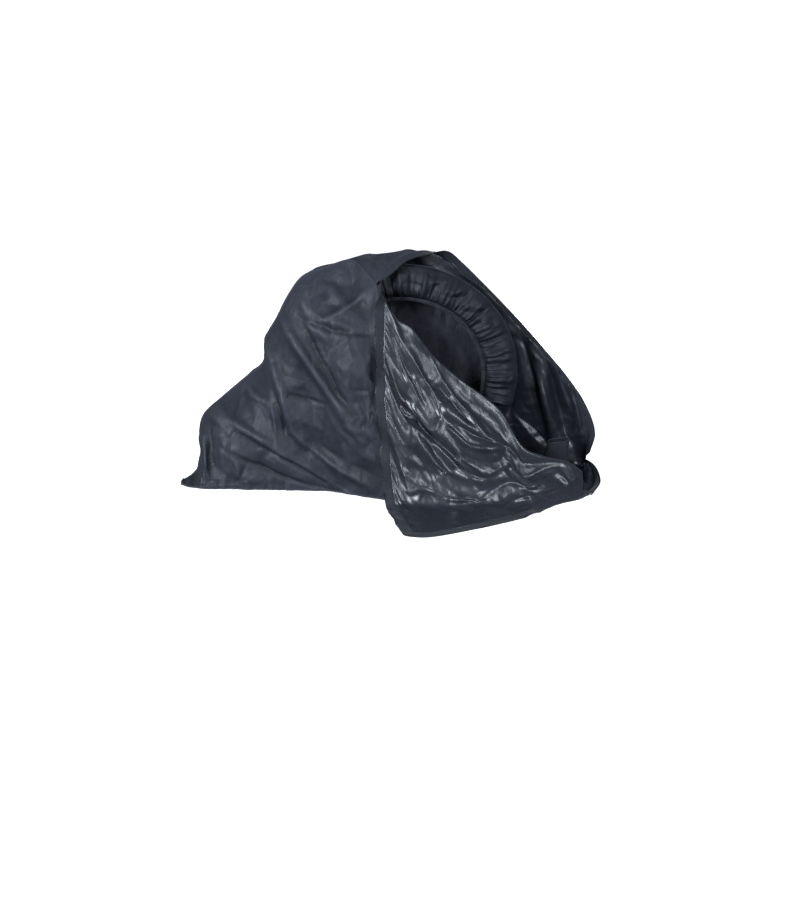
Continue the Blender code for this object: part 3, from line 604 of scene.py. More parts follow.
def far_path(row):
    """One line up the far panel, over its crest and on to its front edge."""
    foot, crest, edge = row[:2], row[2:5], row[5:8]
    wall = wall_profile(foot, crest, WALL_STEPS, FAR_LEAN)
    w = np.linspace(0.0, 1.0, HOOD_STEPS + 1)[1:, None]
    hood = crest * (1 - w) + edge * w
    hood[:, 2] += HOOD_PUFF * np.linalg.norm(edge - crest) * np.sin(math.pi * w[:, 0])
    return np.vstack([wall, hood])


def far_wall():
    """Grid of the far panel, foot to front edge, and the line where its tape ends."""
    rows = far_sections()
    paths = [far_path(row) for row in rows]
    lip = np.array([path[-1] for path in paths])
    along = np.gradient(lip, axis=0)
    along /= np.linalg.norm(along, axis=1, keepdims=True)
    columns = []
    for row, path, beside in zip(rows, paths, along):
        length = np.linalg.norm(np.diff(path, axis=0), axis=1).sum()
        leading = evenly(path, 1, length - TAPE_WIDTH, length)
        leading = (leading[1] - leading[0]) / TAPE_WIDTH
        slant = max(np.linalg.norm(np.cross(leading, beside)), LEAST_SLANT)
        bend = np.linalg.norm(np.diff(path[:WALL_STEPS + 1], axis=0), axis=1).sum()
        stop = max(length - row[8] * TAPE_WIDTH / slant, bend + LEAST_HOOD)
        wall = evenly(path, FAR_ROWS, 0.0, bend)
        columns.append(np.vstack([wall, evenly(path, HOOD_ROWS, bend, stop)[1:]]))
    grid = np.array(columns)
    row = np.arange(grid.shape[1]) / FAR_ROWS
    hold = np.clip(row / FAR_FOOT_PART, FAR_FOOT_HOLD, 1.0) * np.clip((1 - row) / FAR_CREST_PART, 0.0, 1.0)
    hold = np.broadcast_to(hold, grid.shape[:2])
    grid[..., 1] -= fold_height(FAR_FOLDS, grid[..., 0], grid[..., 2]) * hold
    return grid, lip


# ---- wrinkles ----
def facets(u, v, turn, lengthen, cell, height, seed):
    """Flat facets between sharp ridges, as on crumpled thin cloth; longer in the direction turn."""
    draws = np.random.default_rng(seed)
    c, s = math.cos(turn), math.sin(turn)
    p = (u * c + v * s) / (cell * lengthen)
    q = (v * c - u * s) / cell
    low_p, low_q = math.floor(p.min()) - 1, math.floor(q.min()) - 1
    high_p, high_q = math.ceil(p.max()) + 1, math.ceil(q.max()) + 1
    places = np.array([(i, j) for i in range(low_p, high_p + 1) for j in range(low_q, high_q + 1)],
                      dtype=float)
    places += draws.uniform(-FACET_JITTER, FACET_JITTER, places.shape)
    heights = draws.normal(0.0, 1.0, len(places))
    points, _, triangles, *_ = delaunay_2d_cdt([Vector(place) for place in places], [], [], 0, 1e-6)
    points = np.array(points)
    found = np.zeros_like(u)
    for a, b, c in triangles:
        corner, ab, ac = points[a], points[b] - points[a], points[c] - points[a]
        area = ab[0] * ac[1] - ab[1] * ac[0]
        if abs(area) < 1e-9:
            continue
        box = points[[a, b, c]]
        inside = (p >= box[:, 0].min()) & (p <= box[:, 0].max())
        inside &= (q >= box[:, 1].min()) & (q <= box[:, 1].max())
        where = np.nonzero(inside)
        dp, dq = p[where] - corner[0], q[where] - corner[1]
        wb = (dp * ac[1] - dq * ac[0]) / area
        wc = (ab[0] * dq - ab[1] * dp) / area
        keep = (wb >= -1e-9) & (wc >= -1e-9) & (wb + wc <= 1 + 1e-9)
        where = tuple(axis[keep] for axis in where)
        wb, wc = wb[keep], wc[keep]
        found[where] = heights[a] * (1 - wb - wc) + heights[b] * wb + heights[c] * wc
    return found * height


def patches(u, v, cell, seed):
    """1 where thin cloth is crumpled and down to 0 where it lies smooth."""
    return np.clip(PATCH_MEAN + facets(u, v, 0.0, 1.0, cell, PATCH_SPREAD, seed), 0.0, 1.0)


def puckers(along, away, length, reach, height, seed):
    """Small gathers beside a seam, dying away over reach."""
    draws = np.random.default_rng(seed)
    total = np.zeros_like(along)
    for part in PUCKER_PARTS:
        phase, wander = draws.uniform(0.0, 2 * math.pi, 2)
        bend = PUCKER_BEND * np.sin(2 * math.pi * along / (length * PUCKER_WANDER) + wander)
        total += np.sin(2 * math.pi * part * along / length + phase + bend) / part
    return height * total * np.exp(-(away / reach) ** 2)


def links(shape, columns, rows):
    """The two halves of a grid that pair each point with the one so many columns and rows on."""
    wide, high = shape
    first = (slice(0, wide - columns), slice(max(0, -rows), high - max(0, rows)))
    second = (slice(columns, wide), slice(max(0, rows), high + min(0, rows)))
    return first, second


def even_out(values, reach):
    """Values of a grid averaged over a square."""
    for axis in (0, 1):
        total = np.cumsum(np.insert(values, 0, 0.0, axis=axis), axis=axis)
        size = values.shape[axis]
        high = np.minimum(np.arange(size) + reach + 1, size)
        low = np.maximum(np.arange(size) - reach, 0)
        shape = (-1, 1) if axis == 0 else (1, -1)
        values = np.take(total, high, axis=axis) - np.take(total, low, axis=axis)
        values = values / (high - low).reshape(shape)
    return values


def relax(start, base, free, cap, rounds):
    """Let a thin sheet settle: its wrinkles keep their cloth, but share it out, and bend unwillingly."""
    points = start.copy()
    near = np.zeros(base.shape[:2])
    for columns, rows in ((1, 0), (0, 1)):
        first, second = links(near.shape, columns, rows)
        near[first] += 1
        near[second] += 1
    for stride, count, bend in rounds:
        pairs = []
        total = np.zeros(near.shape)
        for columns, rows, weight in ((1, 0, 1.0), (0, 1, 1.0), (1, 1, SHEAR), (1, -1, SHEAR)):
            first, second = links(near.shape, columns * stride, rows * stride)
            rest = np.linalg.norm(base[second] - base[first], axis=2)
            slack = np.linalg.norm(start[second] - start[first], axis=2) / np.maximum(rest, 1e-6) - 1
            rest = rest * (1 + even_out(np.clip(slack, LEAST_SLACK, MOST_SLACK), SHARE_OUT))
            pairs.append((first, second, weight, rest))
            total[first] += weight
            total[second] += weight
        for _ in range(count):
            push = np.zeros_like(points)
            for first, second, weight, rest in pairs:
                gap = points[second] - points[first]
                length = np.maximum(np.sqrt(np.einsum("ijk,ijk->ij", gap, gap)), 1e-7)
                gap *= (weight * (length - rest) / length)[..., None]
                push[first] += gap
                push[second] -= gap
            points += push * (STEP * free / total)[..., None]
            moved = points - base
            around = np.zeros_like(points)
            for columns, rows in ((1, 0), (0, 1)):
                first, second = links(near.shape, columns, rows)
                around[first] += moved[second]
                around[second] += moved[first]
            moved += free[..., None] * (bend * (around / near[..., None] - moved) - GOAL * moved)
            size = np.maximum(np.linalg.norm(moved, axis=2), 1e-9)
            moved *= np.minimum(1.0, cap / size)[..., None]
            points = base + moved
            points[..., 2] = np.maximum(points[..., 2], SKIN / 2 + LIFT)
    return points


# ---- meshes ----
def grid_faces(columns, rows, first=0, closed=False, tubular=False):
    """Quads of a grid whose points are numbered column by column; it may close on itself either way."""
    faces = []
    for column in range(columns if closed else columns - 1):
        here, there = first + column * rows, first + (column + 1) % columns * rows
        for row in range(rows if tubular else rows - 1):
            above = (row + 1) % rows
            faces.append((here + row, there + row, there + above, here + above))
    return faces


def tube_faces(columns, sides, first=0, closed=False):
    """Faces of a tube whose points are numbered section by section, with a cap on each open end."""
    faces = grid_faces(columns, sides, first, closed, tubular=True)
    if not closed:
        last = first + (columns - 1) * sides
        faces += [tuple(range(first, first + sides)), tuple(reversed(range(last, last + sides)))]
    return faces


def add_piece(name, points, faces, materials, slot, replaced=(), smooth=True):
    """One named piece in the frame, riding on the body."""
    mesh = bpy.data.meshes.new(name)
    points = np.asarray(points, dtype=float) + SHIFT
    points[:, 2] = np.maximum(points[:, 2], LIFT)
    mesh.from_pydata(points.tolist(), [], [tuple(int(i) for i in face) for face in faces])
    if smooth:
        mesh.shade_smooth()
    for material in materials:
        mesh.materials.append(material)
    thing = bpy.data.objects.new(name, mesh)
    bpy.context.scene.collection.objects.link(thing)
    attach(thing, "root")
    if replaced:
        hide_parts(*replaced)
    return thing


def give_threads(thing, u, v):
    """Store where each point is on the flat cut, in metres, so that the weave follows the cloth."""
    mesh = thing.data
    layer = mesh.uv_layers.new(name="cut")
    corner = np.empty(len(mesh.loops), dtype=np.int32)
    mesh.loops.foreach_get("vertex_index", corner)
    flat = np.stack([part.ravel() for part in np.broadcast_arrays(u, v)], axis=1)[corner]
    layer.data.foreach_set("uv", flat.astype(np.float32).ravel())


def skin(thing, thickness=SKIN):
    """Give a sheet its thickness; its second material is its inner face."""
    solid = thing.modifiers.new("thickness", "SOLIDIFY")
    solid.thickness = thickness
    solid.offset = 0.0
    solid.use_even_offset = False
    if len(thing.data.materials) > 1:
        solid.material_offset = 1
    return thing


def add_sheet(name, grid, u, v, materials, slot, replaced, closed=False, flipped=False, thickness=SKIN):
    """A grid of points as one thin sheet; u and v say where each point is on its flat cut."""
    faces = grid_faces(*grid.shape[:2], closed=closed)
    if flipped:
        faces = [face[::-1] for face in faces]
    piece = add_piece(name, grid.reshape(-1, 3), faces, materials, slot, replaced)
    give_threads(piece, u, v)
    return skin(piece, thickness)


def unit(vectors):
    return vectors / np.maximum(np.linalg.norm(vectors, axis=-1, keepdims=True), 1e-12)


def tube(path, wide, high, up, sides=10, closed=False, swell=1.0):
    """Points and faces of a tube with an oval section along a path; up is the oval's short direction."""
    if closed:
        along = unit(np.roll(path, -1, axis=0) - np.roll(path, 1, axis=0))
    else:
        along = unit(np.gradient(path, axis=0))
    side = unit(np.cross(along, up))
    rise = unit(np.cross(side, along))
    angle = np.linspace(0.0, 2 * math.pi, sides, endpoint=False)
    size = np.broadcast_to(swell, len(path))[:, None, None]
    ring = (path[:, None] + side[:, None] * (np.cos(angle) * wide)[None, :, None] * size
            + rise[:, None] * (np.sin(angle) * high)[None, :, None] * size)
    return ring.reshape(-1, 3), tube_faces(len(path), sides, closed=closed)


def resample(path, step, *others):
    """A path and vectors beside it at even steps."""
    along = lengths_along(path)
    wanted = np.linspace(0.0, along[-1], max(int(along[-1] / step), 2) + 1)
    return [read_at(wanted, along, values) for values in (path, *others)]


def thread(path, up, pitch):
    """A row of stitches along a path: points and faces of many short beads of thread."""
    path, up = resample(path, pitch, up)
    angle = np.linspace(0.0, 2 * math.pi, STITCH_SIDES, endpoint=False)
    points, faces = [], []
    for here, there, high in zip(path[:-1], path[1:], unit(up)[:-1]):
        side = unit(np.cross(there - here, high))
        faces += tube_faces(len(STITCH), STITCH_SIDES, len(points))
        for place, thick in STITCH:
            middle = here + (there - here) * place + high * STITCH_SIZE * (thick - STITCH_SINK)
            for a in angle:
                round_it = side * math.cos(a) * STITCH_WIDE + high * math.sin(a)
                points.append(middle + STITCH_SIZE * thick * round_it)
    return points, faces


def coil(path, out, up):
    """The zip's coil along a tape's border: one small bead for each turn."""
    path, out, up = resample(path, COIL_PITCH, out, up)
    points, faces = [], []
    for here, there, sideways, high in zip(path[:-1], path[1:], unit(out)[:-1], unit(up)[:-1]):
        faces += tube_faces(len(COIL_SHAPE), 4, len(points))
        for reach, half in COIL_SHAPE:
            tall, narrow = COIL_HEIGHT * (COIL_BASE + half), half * COIL_NARROW
            for along, lift in ((-half, 0.0), (half, 0.0), (narrow, tall), (-narrow, tall)):
                lifted = high * (lift - COIL_HEIGHT / 2)
                points.append(here + (there - here) * (0.5 + along) + sideways * reach + lifted)
    return points, faces


# ---- materials ----
WHITE = (1.0, 1.0, 1.0, 1.0)
MIX_FACTOR, MIX_FIRST, MIX_SECOND, MIXED = 0, 6, 7, 2      # sockets of a node that mixes colours
CRINKLES = ((1.0, 1.0, 0.9), (2.6, 0.5, -0.5))             # how much finer, how strong, how far turned
CRINKLE_STRETCH = (1.0, 0.8, 0.6)
TILT_SHARE = 0.73
WEAVE_BANDS = 6.0
WEAVE_STRENGTH = 0.35


def fill(tree, made, sockets):
    """Give a node's sockets their constants, or join them to the outputs of other nodes."""
    for name, value in sockets.items():
        if isinstance(value, bpy.types.NodeSocket):
            tree.links.new(value, made.inputs[name])
        else:
            made.inputs[name].default_value = value


def node(tree, kind, sockets={}, **settings):
    made = tree.nodes.new("ShaderNode" + kind)
    for name, value in settings.items():
        setattr(made, name, value)
    fill(tree, made, sockets)
    return made


def ramp(tree, factor, *stops):
    """A colour ramp through (place, colour) stops."""
    made = node(tree, "ValToRGB", {"Fac": factor})
    for element, (place, colour) in zip(made.color_ramp.elements, stops):
        element.position = place
        element.color = (*colour[:3], 1.0)
    return made.outputs["Color"]


def spread(tree, factor, low, high, start=0.3, end=0.7):
    """A noise's middle range stretched from low to high."""
    reach = {"From Min": start, "From Max": end, "To Min": low, "To Max": high}
    return node(tree, "MapRange", {"Value": factor, **reach}).outputs["Result"]


def noise(tree, place, scale, detail, roughness):
    sockets = {"Vector": place, "Scale": scale, "Detail": detail, "Roughness": roughness}
    return node(tree, "TexNoise", sockets).outputs["Fac"]


def bump(tree, height, distance, strength, before):
    sockets = {"Height": height, "Distance": distance, "Strength": strength, "Normal": before}
    return node(tree, "Bump", sockets).outputs["Normal"]


def crumpled(tree, place, normal, scale, slope, turn):
    """Normal of thin crumpled cloth: cells to a metre, each tilted its own way, with roofs between them."""
    stretched = {"Vector": place, "Rotation": (0.4 * turn, turn, 0.2), "Scale": CRINKLE_STRETCH}
    place = node(tree, "Mapping", stretched).outputs["Vector"]
    roofs = node(tree, "TexVoronoi", {"Vector": place, "Scale": scale}, feature="DISTANCE_TO_EDGE")
    tilts = node(tree, "TexVoronoi", {"Vector": place, "Scale": scale * TILT_SHARE}, feature="F1")
    middle = node(tree, "VectorMath", {0: tilts.outputs["Color"], 1: (0.5,) * 3}, operation="SUBTRACT")
    tilt = node(tree, "VectorMath", {0: middle.outputs["Vector"], 1: (slope * 2,) * 3, 2: normal},
                operation="MULTIPLY_ADD")
    even = node(tree, "VectorMath", {0: tilt.outputs["Vector"]}, operation="NORMALIZE")
    return bump(tree, roofs.outputs["Distance"], slope / scale, 1.0, even.outputs["Vector"])


def new_material(name):
    material = bpy.data.materials.new(name)
    material.use_nodes = True
    tree = material.node_tree
    return material, tree, tree.nodes["Principled BSDF"]


def cloth(name, dark, pale, ridge_highlight, rough, crinkle, coat=None, sheen=0.0, threads=True, weave=1400.0):
    """Woven nylon: uneven colour, sharp ridges painted paler as a highlight, uneven gloss, crumpled facets
    and the weave's threads.

    crinkle is (facets to a metre, their slope, height of the weave); coat is (weight, roughness).
    """
    material, tree, shader = new_material(name)
    place = node(tree, "TexCoord").outputs
    flat, solid = place["UV" if threads else "Object"], place["Object"]
    shape = node(tree, "NewGeometry").outputs
    colour = ramp(tree, noise(tree, solid, 9.0, 5.0, 0.6), (0.30, dark), (0.72, pale))
    # pointiness picks out sharp ridges, which are mixed towards a paler colour: a painted highlight
    highlit_ridges = ramp(tree, shape["Pointiness"], (0.46, (0.0, 0.0, 0.0)), (0.60, WHITE))
    mixed = node(tree, "Mix", {}, data_type="RGBA", blend_type="MIX")
    fill(tree, mixed, {MIX_FACTOR: highlit_ridges, MIX_FIRST: colour, MIX_SECOND: (*ridge_highlight, 1.0)})
    gloss = spread(tree, noise(tree, solid, 34.0, 4.0, 0.6), *rough)

    scale, slope, fine = crinkle
    normal = shape["Normal"]
    for finer, share, turn in CRINKLES:
        normal = crumpled(tree, solid, normal, scale * finer, slope * share, turn)
    if coat:
        fill(tree, shader, {"Coat Weight": coat[0], "Coat Roughness": coat[1], "Coat Normal": normal})
    for direction in "XY":
        wave = node(tree, "TexWave", {"Vector": flat, "Scale": weave / WEAVE_BANDS, "Distortion": 0.4},
                    wave_type="BANDS", bands_direction=direction)
        normal = bump(tree, wave.outputs["Fac"], fine, WEAVE_STRENGTH, normal)
    fill(tree, shader, {"Base Color": mixed.outputs[MIXED], "Roughness": gloss, "Normal": normal,
                        "Specular IOR Level": 0.5 if coat else 0.35, "Sheen Weight": sheen,
                        "Sheen Roughness": 0.4})
    return material


# ---- the places of everything ----
rim_low, rim_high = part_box("pocket_elastic")
SHIFT = np.array([(rim_low.x + rim_high.x) / 2 - POCKET_CENTRE[0],
                  (rim_low.y + rim_high.y) / 2 - POCKET_CENTRE[1] - MOUTH.depth, 0.0])


def both_up(normals):
    """Normals turned to the side that is seen from the near side and from above."""
    return normals * np.sign(normals[..., 2:3] - normals[..., 1:2] + 1e-9)


def eased(rows, first, last):
    """0 at a grid's first and last row, and 1 further in than so many rows from each."""
    row = np.arange(rows + 1)
    return np.clip(row / first, 0.0, 1.0) * np.clip((rows - row) / last, 0.0, 1.0)


def settle_wall():
    """The near panel's wall: its creases and crumples on the soft folds, then settled."""
    base, hold = near_wall()
    x, z = base[..., 0], base[..., 2]
    height = WALL_RISE * fold_height(WALL_CREASES, x, z, crisp=True)
    rough = patches(x, z, *WALL_PATCHES)
    height += facets(x, z, *WALL_FACETS)
    height += rough * facets(x, z, *WALL_FINE)
    away = np.linalg.norm(base - base[:, -1:], axis=2)
    beside_zip = np.abs(np.arange(len(x)) - REAR_COLUMNS) > ZIP_CALM
    height += puckers(x + z, away, *TOP_PUCKERS) * beside_zip[:, None]
    height += puckers(x, z, *WIDE_PUCKERS)
    start = base + grid_normals(base) * (height * np.clip(hold * WALL_HOLD, 0.0, 1.0))[..., None]
    free = np.broadcast_to(eased(WALL_ROWS, *WALL_EASE), x.shape).copy()
    free[:HELD_COLUMNS] = 0.0
    return relax(start, base, free, WALL_CAP * np.clip(hold * CAP_HOLD, LEAST_CAP, 1.0), ROUNDS)


def settle_flap():
    """The folded corner: soft folds in its base, then creases, crumples and puckers, then settled."""
    base = front_flap()
    down = distance_down(base)
    left = down[:, -1:] - down
    clear = np.clip(down / TURN_CLEAR, 0.0, 1.0) * np.clip(left / EDGE_CLEAR, 0.0, 1.0)
    soft = SOFT_SHARE * fold_height(FLAP_FOLDS, base[..., 0], down) * clear
    base += both_up(-grid_normals(base)) * soft[..., None]
    base[..., 2] = np.maximum(base[..., 2], CLOTH / 2)
    x = base[..., 0]
    height = fold_height(FLAP_CREASES, x, down, crisp=True)
    rough = patches(x, down, *FLAP_PATCHES)
    height += facets(x, down, *FLAP_FACETS)
    height += rough * facets(x, down, *FLAP_FINE)
    border = np.linalg.norm(base - base[:1], axis=2)
    height += puckers(down, border, *FLAP_PUCKERS) * (1 - np.exp(-(border / PUCKER_START) ** 2))
    calm_x, calm_down = (x - CALM_PLACE[0]) / CALM_SIZE[0], (down - CALM_PLACE[1]) / CALM_SIZE[1]
    calm = 1.0 - CALM_LOSS * np.exp(-calm_x ** 2 - calm_down ** 2)
    start = base + both_up(-grid_normals(base)) * (height * calm * clear ** CLEAR_POWER)[..., None]
    free = np.clip(clear * FLAP_FREE, 0.0, 1.0)
    return relax(start, base, free, FLAP_CAP[0] + FLAP_CAP[1] * clear, ROUNDS)


def make_near_panel(wall, flap):
    """Wall and folded corner as one cloth, joined along the front of the fold."""
    faces = grid_faces(*wall.shape[:2])
    first = wall.shape[0] * wall.shape[1]
    turned = grid_faces(*flap.shape[:2], first)
    rows, down = wall.shape[1], flap.shape[1]
    finer = FLAP_COLUMNS // FRONT_COLUMNS
    for column in range(FRONT_COLUMNS):
        top = (REAR_COLUMNS + column) * rows + rows - 1
        edge = [first + (column * finer + step) * down for step in range(finer, -1, -1)]
        faces.append((top, top + rows, *edge))
    points = np.vstack([wall.reshape(-1, 3), flap.reshape(-1, 3)])
    piece = add_piece("near_panel_cloth", points, faces + turned, [OUTER, INNER], "panel_cloth",
                      ("side_panel_near",))
    along = np.concatenate([distance_down(wall).ravel(), WALL_TOP_V + distance_down(flap).ravel()])
    give_threads(piece, points[:, 0], along)
    return skin(piece)


def make_far_panel():
    """The far panel, and the line where its tape ends."""
    base, lip = far_wall()
    x, z = base[..., 0], base[..., 2]
    height = fold_height(FAR_CREASES, x, z, crisp=True)
    height += facets(x, z, *FAR_FACETS) + facets(x, z, *FAR_FINE)
    row = np.arange(base.shape[1])
    inward = eased(FAR_ROWS + HOOD_ROWS, *FAR_EASE)
    crest = np.clip(np.abs(row - FAR_ROWS) / CREST_EASE, 0.5, 1.0)
    grid = base + grid_normals(base) * (height * inward * crest)[..., None]
    free = np.broadcast_to(inward, x.shape).copy()
    free[:HELD_COLUMNS] = 0.0
    free[FAR_REAR_COLUMNS - SEAM_END:FAR_REAR_COLUMNS + SEAM_END + 1, FAR_ROWS:] *= SEAM_FREE
    cap = np.full(x.shape, FAR_CAP) * np.clip(LEAST_FAR_CAP + inward * crest, 0.0, 1.0)
    cap[:, FAR_ROWS:] *= HOOD_CAP
    grid = relax(grid, base, free, cap, ROUNDS)
    far = add_sheet("far_panel_cloth", grid, x, row * FAR_ROW_V, [OUTER, INNER], "panel_cloth",
                    ("side_panel_far",), flipped=True)
    return grid, lip, far


def edge_outward(border, inside):
    """Unit vectors that lead straight out of a sheet at its border."""
    along = unit(np.gradient(border, axis=0))
    out = border - inside
    return unit(out - along * np.sum(out * along, axis=1, keepdims=True))


def smooth_line(values, reach):
    """A line of vectors with its small kinks taken out."""
    weights = np.hanning(2 * reach + 3)[1:-1]
    weights /= weights.sum()
    padded = np.vstack([values[:1].repeat(reach, axis=0), values, values[-1:].repeat(reach, axis=0)])
    return np.stack([np.convolve(padded[:, axis], weights, "valid") for axis in range(values.shape[1])],
                    axis=1)


def ribbon(edge, outer, up, name, replaced):
    """A woven tape between two lines, slightly crowned across, as a thin sheet."""
    v = np.linspace(0.0, 1.0, TAPE_ROWS + 1)[None, :, None]
    grid = edge[:, None] * (1 - v) + outer[:, None] * v
    grid = grid + up[:, None] * (-TAPE_DIP * (1 - v) + TAPE_CROWN * np.sin(math.pi * v))
    grid[..., 2] = np.maximum(grid[..., 2], SKIN)
    add_sheet(name, grid, lengths_along(edge)[:, None], v[0, :, 0] * TAPE_WIDTH, [TAPE], "zip_tape", replaced,
              thickness=TRIM_SKIN)


def make_near_tape(flap):
    """Tape down the folded corner's rear edge, round its tip, along its free edge and round the front."""
    down = flap[0, TURN_ROWS:]
    down_out = smooth_line(edge_outward(down, flap[TAPE_REACH, TURN_ROWS:]), TAPE_SMOOTH)
    free = flap[:, -1]
    free_out = smooth_line(edge_outward(free, flap[:, -TAPE_REACH]), TAPE_SMOOTH)
    turn = np.linspace(0.0, 1.0, CORNER_STEPS)[1:-1, None]
    corner_out = unit(down_out[-1] * (1 - turn) + free_out[0] * turn)
    corner = down[-1] + corner_out * CORNER_ROUND
    curl = spline(CURL, CURL_STEPS)
    edge = np.vstack([down[:-1], corner, free[1:], curl[:, :3]])
    outward = unit(np.vstack([down_out[:-1], corner_out, free_out[1:], unit(curl[:, 3:])]))
    up = unit(np.cross(outward, unit(np.gradient(edge, axis=0))))
    up *= np.where(up[:, 2:3] - up[:, 1:2] < 0, -1.0, 1.0)
    up = unit(smooth_line(up, NEAR_UP_SMOOTH))
    outer = edge + outward * (TAPE_GAP + TAPE_WIDTH)
    ribbon(edge - outward * TAPE_LAP, outer, up, "zip_tape_near_cloth", ("zip_tape_near",))
    add_coil("zip_coil_near", outer, outward, up)
    rows = [thread(edge + outward * out + up * STITCH_OVER, up, TAPE_PITCH) for out in TAPE_STITCHES]
    add_threads("zip_stitches_near", rows, "zip_tape")


def make_far_tape(far_grid, lip):
    """Tape along the hood's lip and down the far panel's free edge."""
    inner = far_grid[:, -1]
    first = int(np.argmax(np.linalg.norm(lip - inner, axis=1) > TAPE_START * TAPE_WIDTH))
    edge, outer = inner[first:], lip[first:]
    outward = unit(outer - edge)
    up = unit(np.cross(unit(np.gradient(edge, axis=0)), outward))
    up = unit(smooth_line(up, FAR_UP_SMOOTH))
    up *= np.where(up[:, 1:2] > 0, -1.0, 1.0)
    ribbon(edge - outward * TAPE_LAP, outer, up, "zip_tape_far_cloth", ("zip_tape_far",))
    add_coil("zip_coil_far", outer, outward, up)
    rows = []
    for out in TAPE_STITCHES:
        rows.append(thread(edge + outward * out + up * FAR_OVER, up, TAPE_PITCH))
        rows.append(thread(edge + outward * out - up * FAR_UNDER, -up, TAPE_PITCH))
    add_threads("zip_stitches_far", rows, "zip_tape")


def add_coil(name, outer, outward, up):
    points, faces = coil(outer - outward * COIL_INSET, outward, up)
    add_piece(name, points, faces, [TEETH], "zip_tape", smooth=False)


def add_threads(name, rows, slot):
    points, faces = [], []
    for found, quads in rows:
        first = len(points)
        points += found
        faces += [tuple(first + corner for corner in quad) for quad in quads]
    add_piece(name, points, faces, [THREAD], slot)


def gather_wave(angle):
    """Uneven gathers round the pocket, between -1 and 1."""
    return np.cos(GATHERS * angle + 0.7 * np.sin(3 * angle + 1.0) + 0.5 * np.sin(7 * angle + 2.0))


def pleats(angle, reach):
    """Fine pleats that start at the mouth and die away outward; reach is 0 at the mouth and 1 at the rim."""
    total = np.zeros(np.broadcast(angle, reach).shape)
    for count, wander, phase, size, length in PLEATS:
        bend = wander * np.sin(5 * angle + phase) + 0.8 * np.sin(11 * angle - phase)
        bend = bend + reach * (2.2 * np.sin(3 * angle + phase) + 1.1 * np.sin(17 * angle))
        total += size * np.abs(np.sin(0.5 * (count * angle + bend))) * np.exp(-(reach / length) ** 2)
    return total


def round_pocket(radius, y, angle):
    """Points at these distances from the pocket's middle, which is a little flattened."""
    cx, cy, cz = POCKET_CENTRE
    x, z = cx + radius * np.cos(angle), cz + radius * POCKET_SQUASH * np.sin(angle)
    return np.stack(np.broadcast_arrays(x, cy + y, z), axis=-1)


def pocket_surface(rings, rows):
    """Points of the pocket's cloth, ring by ring in fine steps."""
    angle = (np.arange(POCKET_AROUND) * 2 * math.pi / POCKET_AROUND)[:, None]
    radius, depth, gather = (part[None] for part in spline(rings, rows).T)
    wave = gather_wave(angle)
    reach = radius + GATHER_PINCH * gather * wave
    push = depth - gather * wave
    across, up = reach * np.cos(angle), reach * np.sin(angle)
    if rings is POCKET_FRONT:
        out = np.clip((radius - MOUTH.radius) / (RIM.radius - MOUTH.radius), 0.0, 1.0)
        grown = np.clip(out * PLEAT_START[0], PLEAT_START[1], 1.0)
        push = push - PLEAT_DEPTH * (pleats(angle, out) - PLEAT_MEAN) * grown * (1 - out ** 5)
        push = push - facets(across, up, *RING_FACETS) * np.sin(math.pi * out)
    else:
        out = np.clip(radius / rings[0].radius, 0.0, 1.0)
        push = push + facets(across, up, *DISC_FACETS) * np.sin(math.pi * out ** 2)
    return round_pocket(reach, push, angle)


def make_pocket():
    """The pocket's gathered front ring."""
    grid = pocket_surface(POCKET_FRONT, RING_ROWS)
    u, v = np.arange(POCKET_AROUND)[:, None] * AROUND_V, np.arange(grid.shape[1]) * OUTWARD_V
    return add_sheet("wheel_pocket_cloth", grid, u, v, [POCKET, POCKET_IN], "pocket_cloth", ("wheel_pocket",),
                     closed=True)


def make_pocket_back():
    """The pocket's smooth back, closed in the middle."""
    disc = pocket_surface(POCKET_BACK, DISC_ROWS)[::DISC_SPARSE]
    inner = disc[:, -1]
    middle = inner.mean(axis=0)
    v = np.linspace(0.0, 1.0, MIDDLE_ROWS + 1)[1:-1][None, :, None]
    grid = np.concatenate([disc, inner[:, None] * (1 - v) + middle * v], axis=1)
    wide, high = grid.shape[:2]
    points = np.vstack([grid.reshape(-1, 3), middle])
    faces = grid_faces(wide, high, closed=True)
    last = high - 1
    faces += [(step * high + last, (step + 1) % wide * high + last, wide * high) for step in range(wide)]
    back = add_piece("pocket_back_cloth", points, [face[::-1] for face in faces],
                     [POCKET_BACK_OUT, POCKET_IN], "pocket_cloth", ("pocket_back",))
    give_threads(back, points[:, 0], points[:, 2])
    return skin(back)


def make_pocket_trim():
    """The elastic round the pocket's mouth with its stitches, and the seam round its rim."""
    middle = MOUTH.radius - GATHER_PINCH * MOUTH.gather - BAND_GAP - BAND_WIDTH / 2
    angle = np.linspace(0.0, 2 * math.pi, BAND_STEPS, endpoint=False)
    path = round_pocket(middle, MOUTH.depth, angle)
    ruche = 1.0 + 0.10 * np.sin(150 * angle + 2.0 * np.sin(9 * angle)) + 0.05 * np.sin(61 * angle)
    path[:, 1] += 0.0010 * np.sin(29 * angle + 1.4 * np.sin(4 * angle))
    points, faces = tube(path, BAND_WIDTH / 2, BAND_THICK, NEARWARD, BAND_SIDES, True, ruche)
    add_piece("pocket_elastic_band", points, faces, [ELASTIC], "elastic_band", ("pocket_elastic",))
    seam = []
    for out in BAND_STITCHES:
        ring = round_pocket(middle + out, MOUTH.depth - BAND_THICK - BAND_CLEAR, angle)
        seam.append(thread(np.vstack([ring, ring[:1]]), np.tile(NEARWARD, (len(ring) + 1, 1)), SEAM_PITCH))
    add_threads("pocket_elastic_stitches", seam, "elastic_band")
    wave = RIM.gather * gather_wave(angle)
    path = round_pocket(RIM.radius + GATHER_PINCH * wave, RIM.depth + RIM_BEHIND - wave, angle)
    add_piece("pocket_rim_seam", *tube(path, *RIM_CORD, NEARWARD, 8, True), [POCKET], "pocket_cloth")


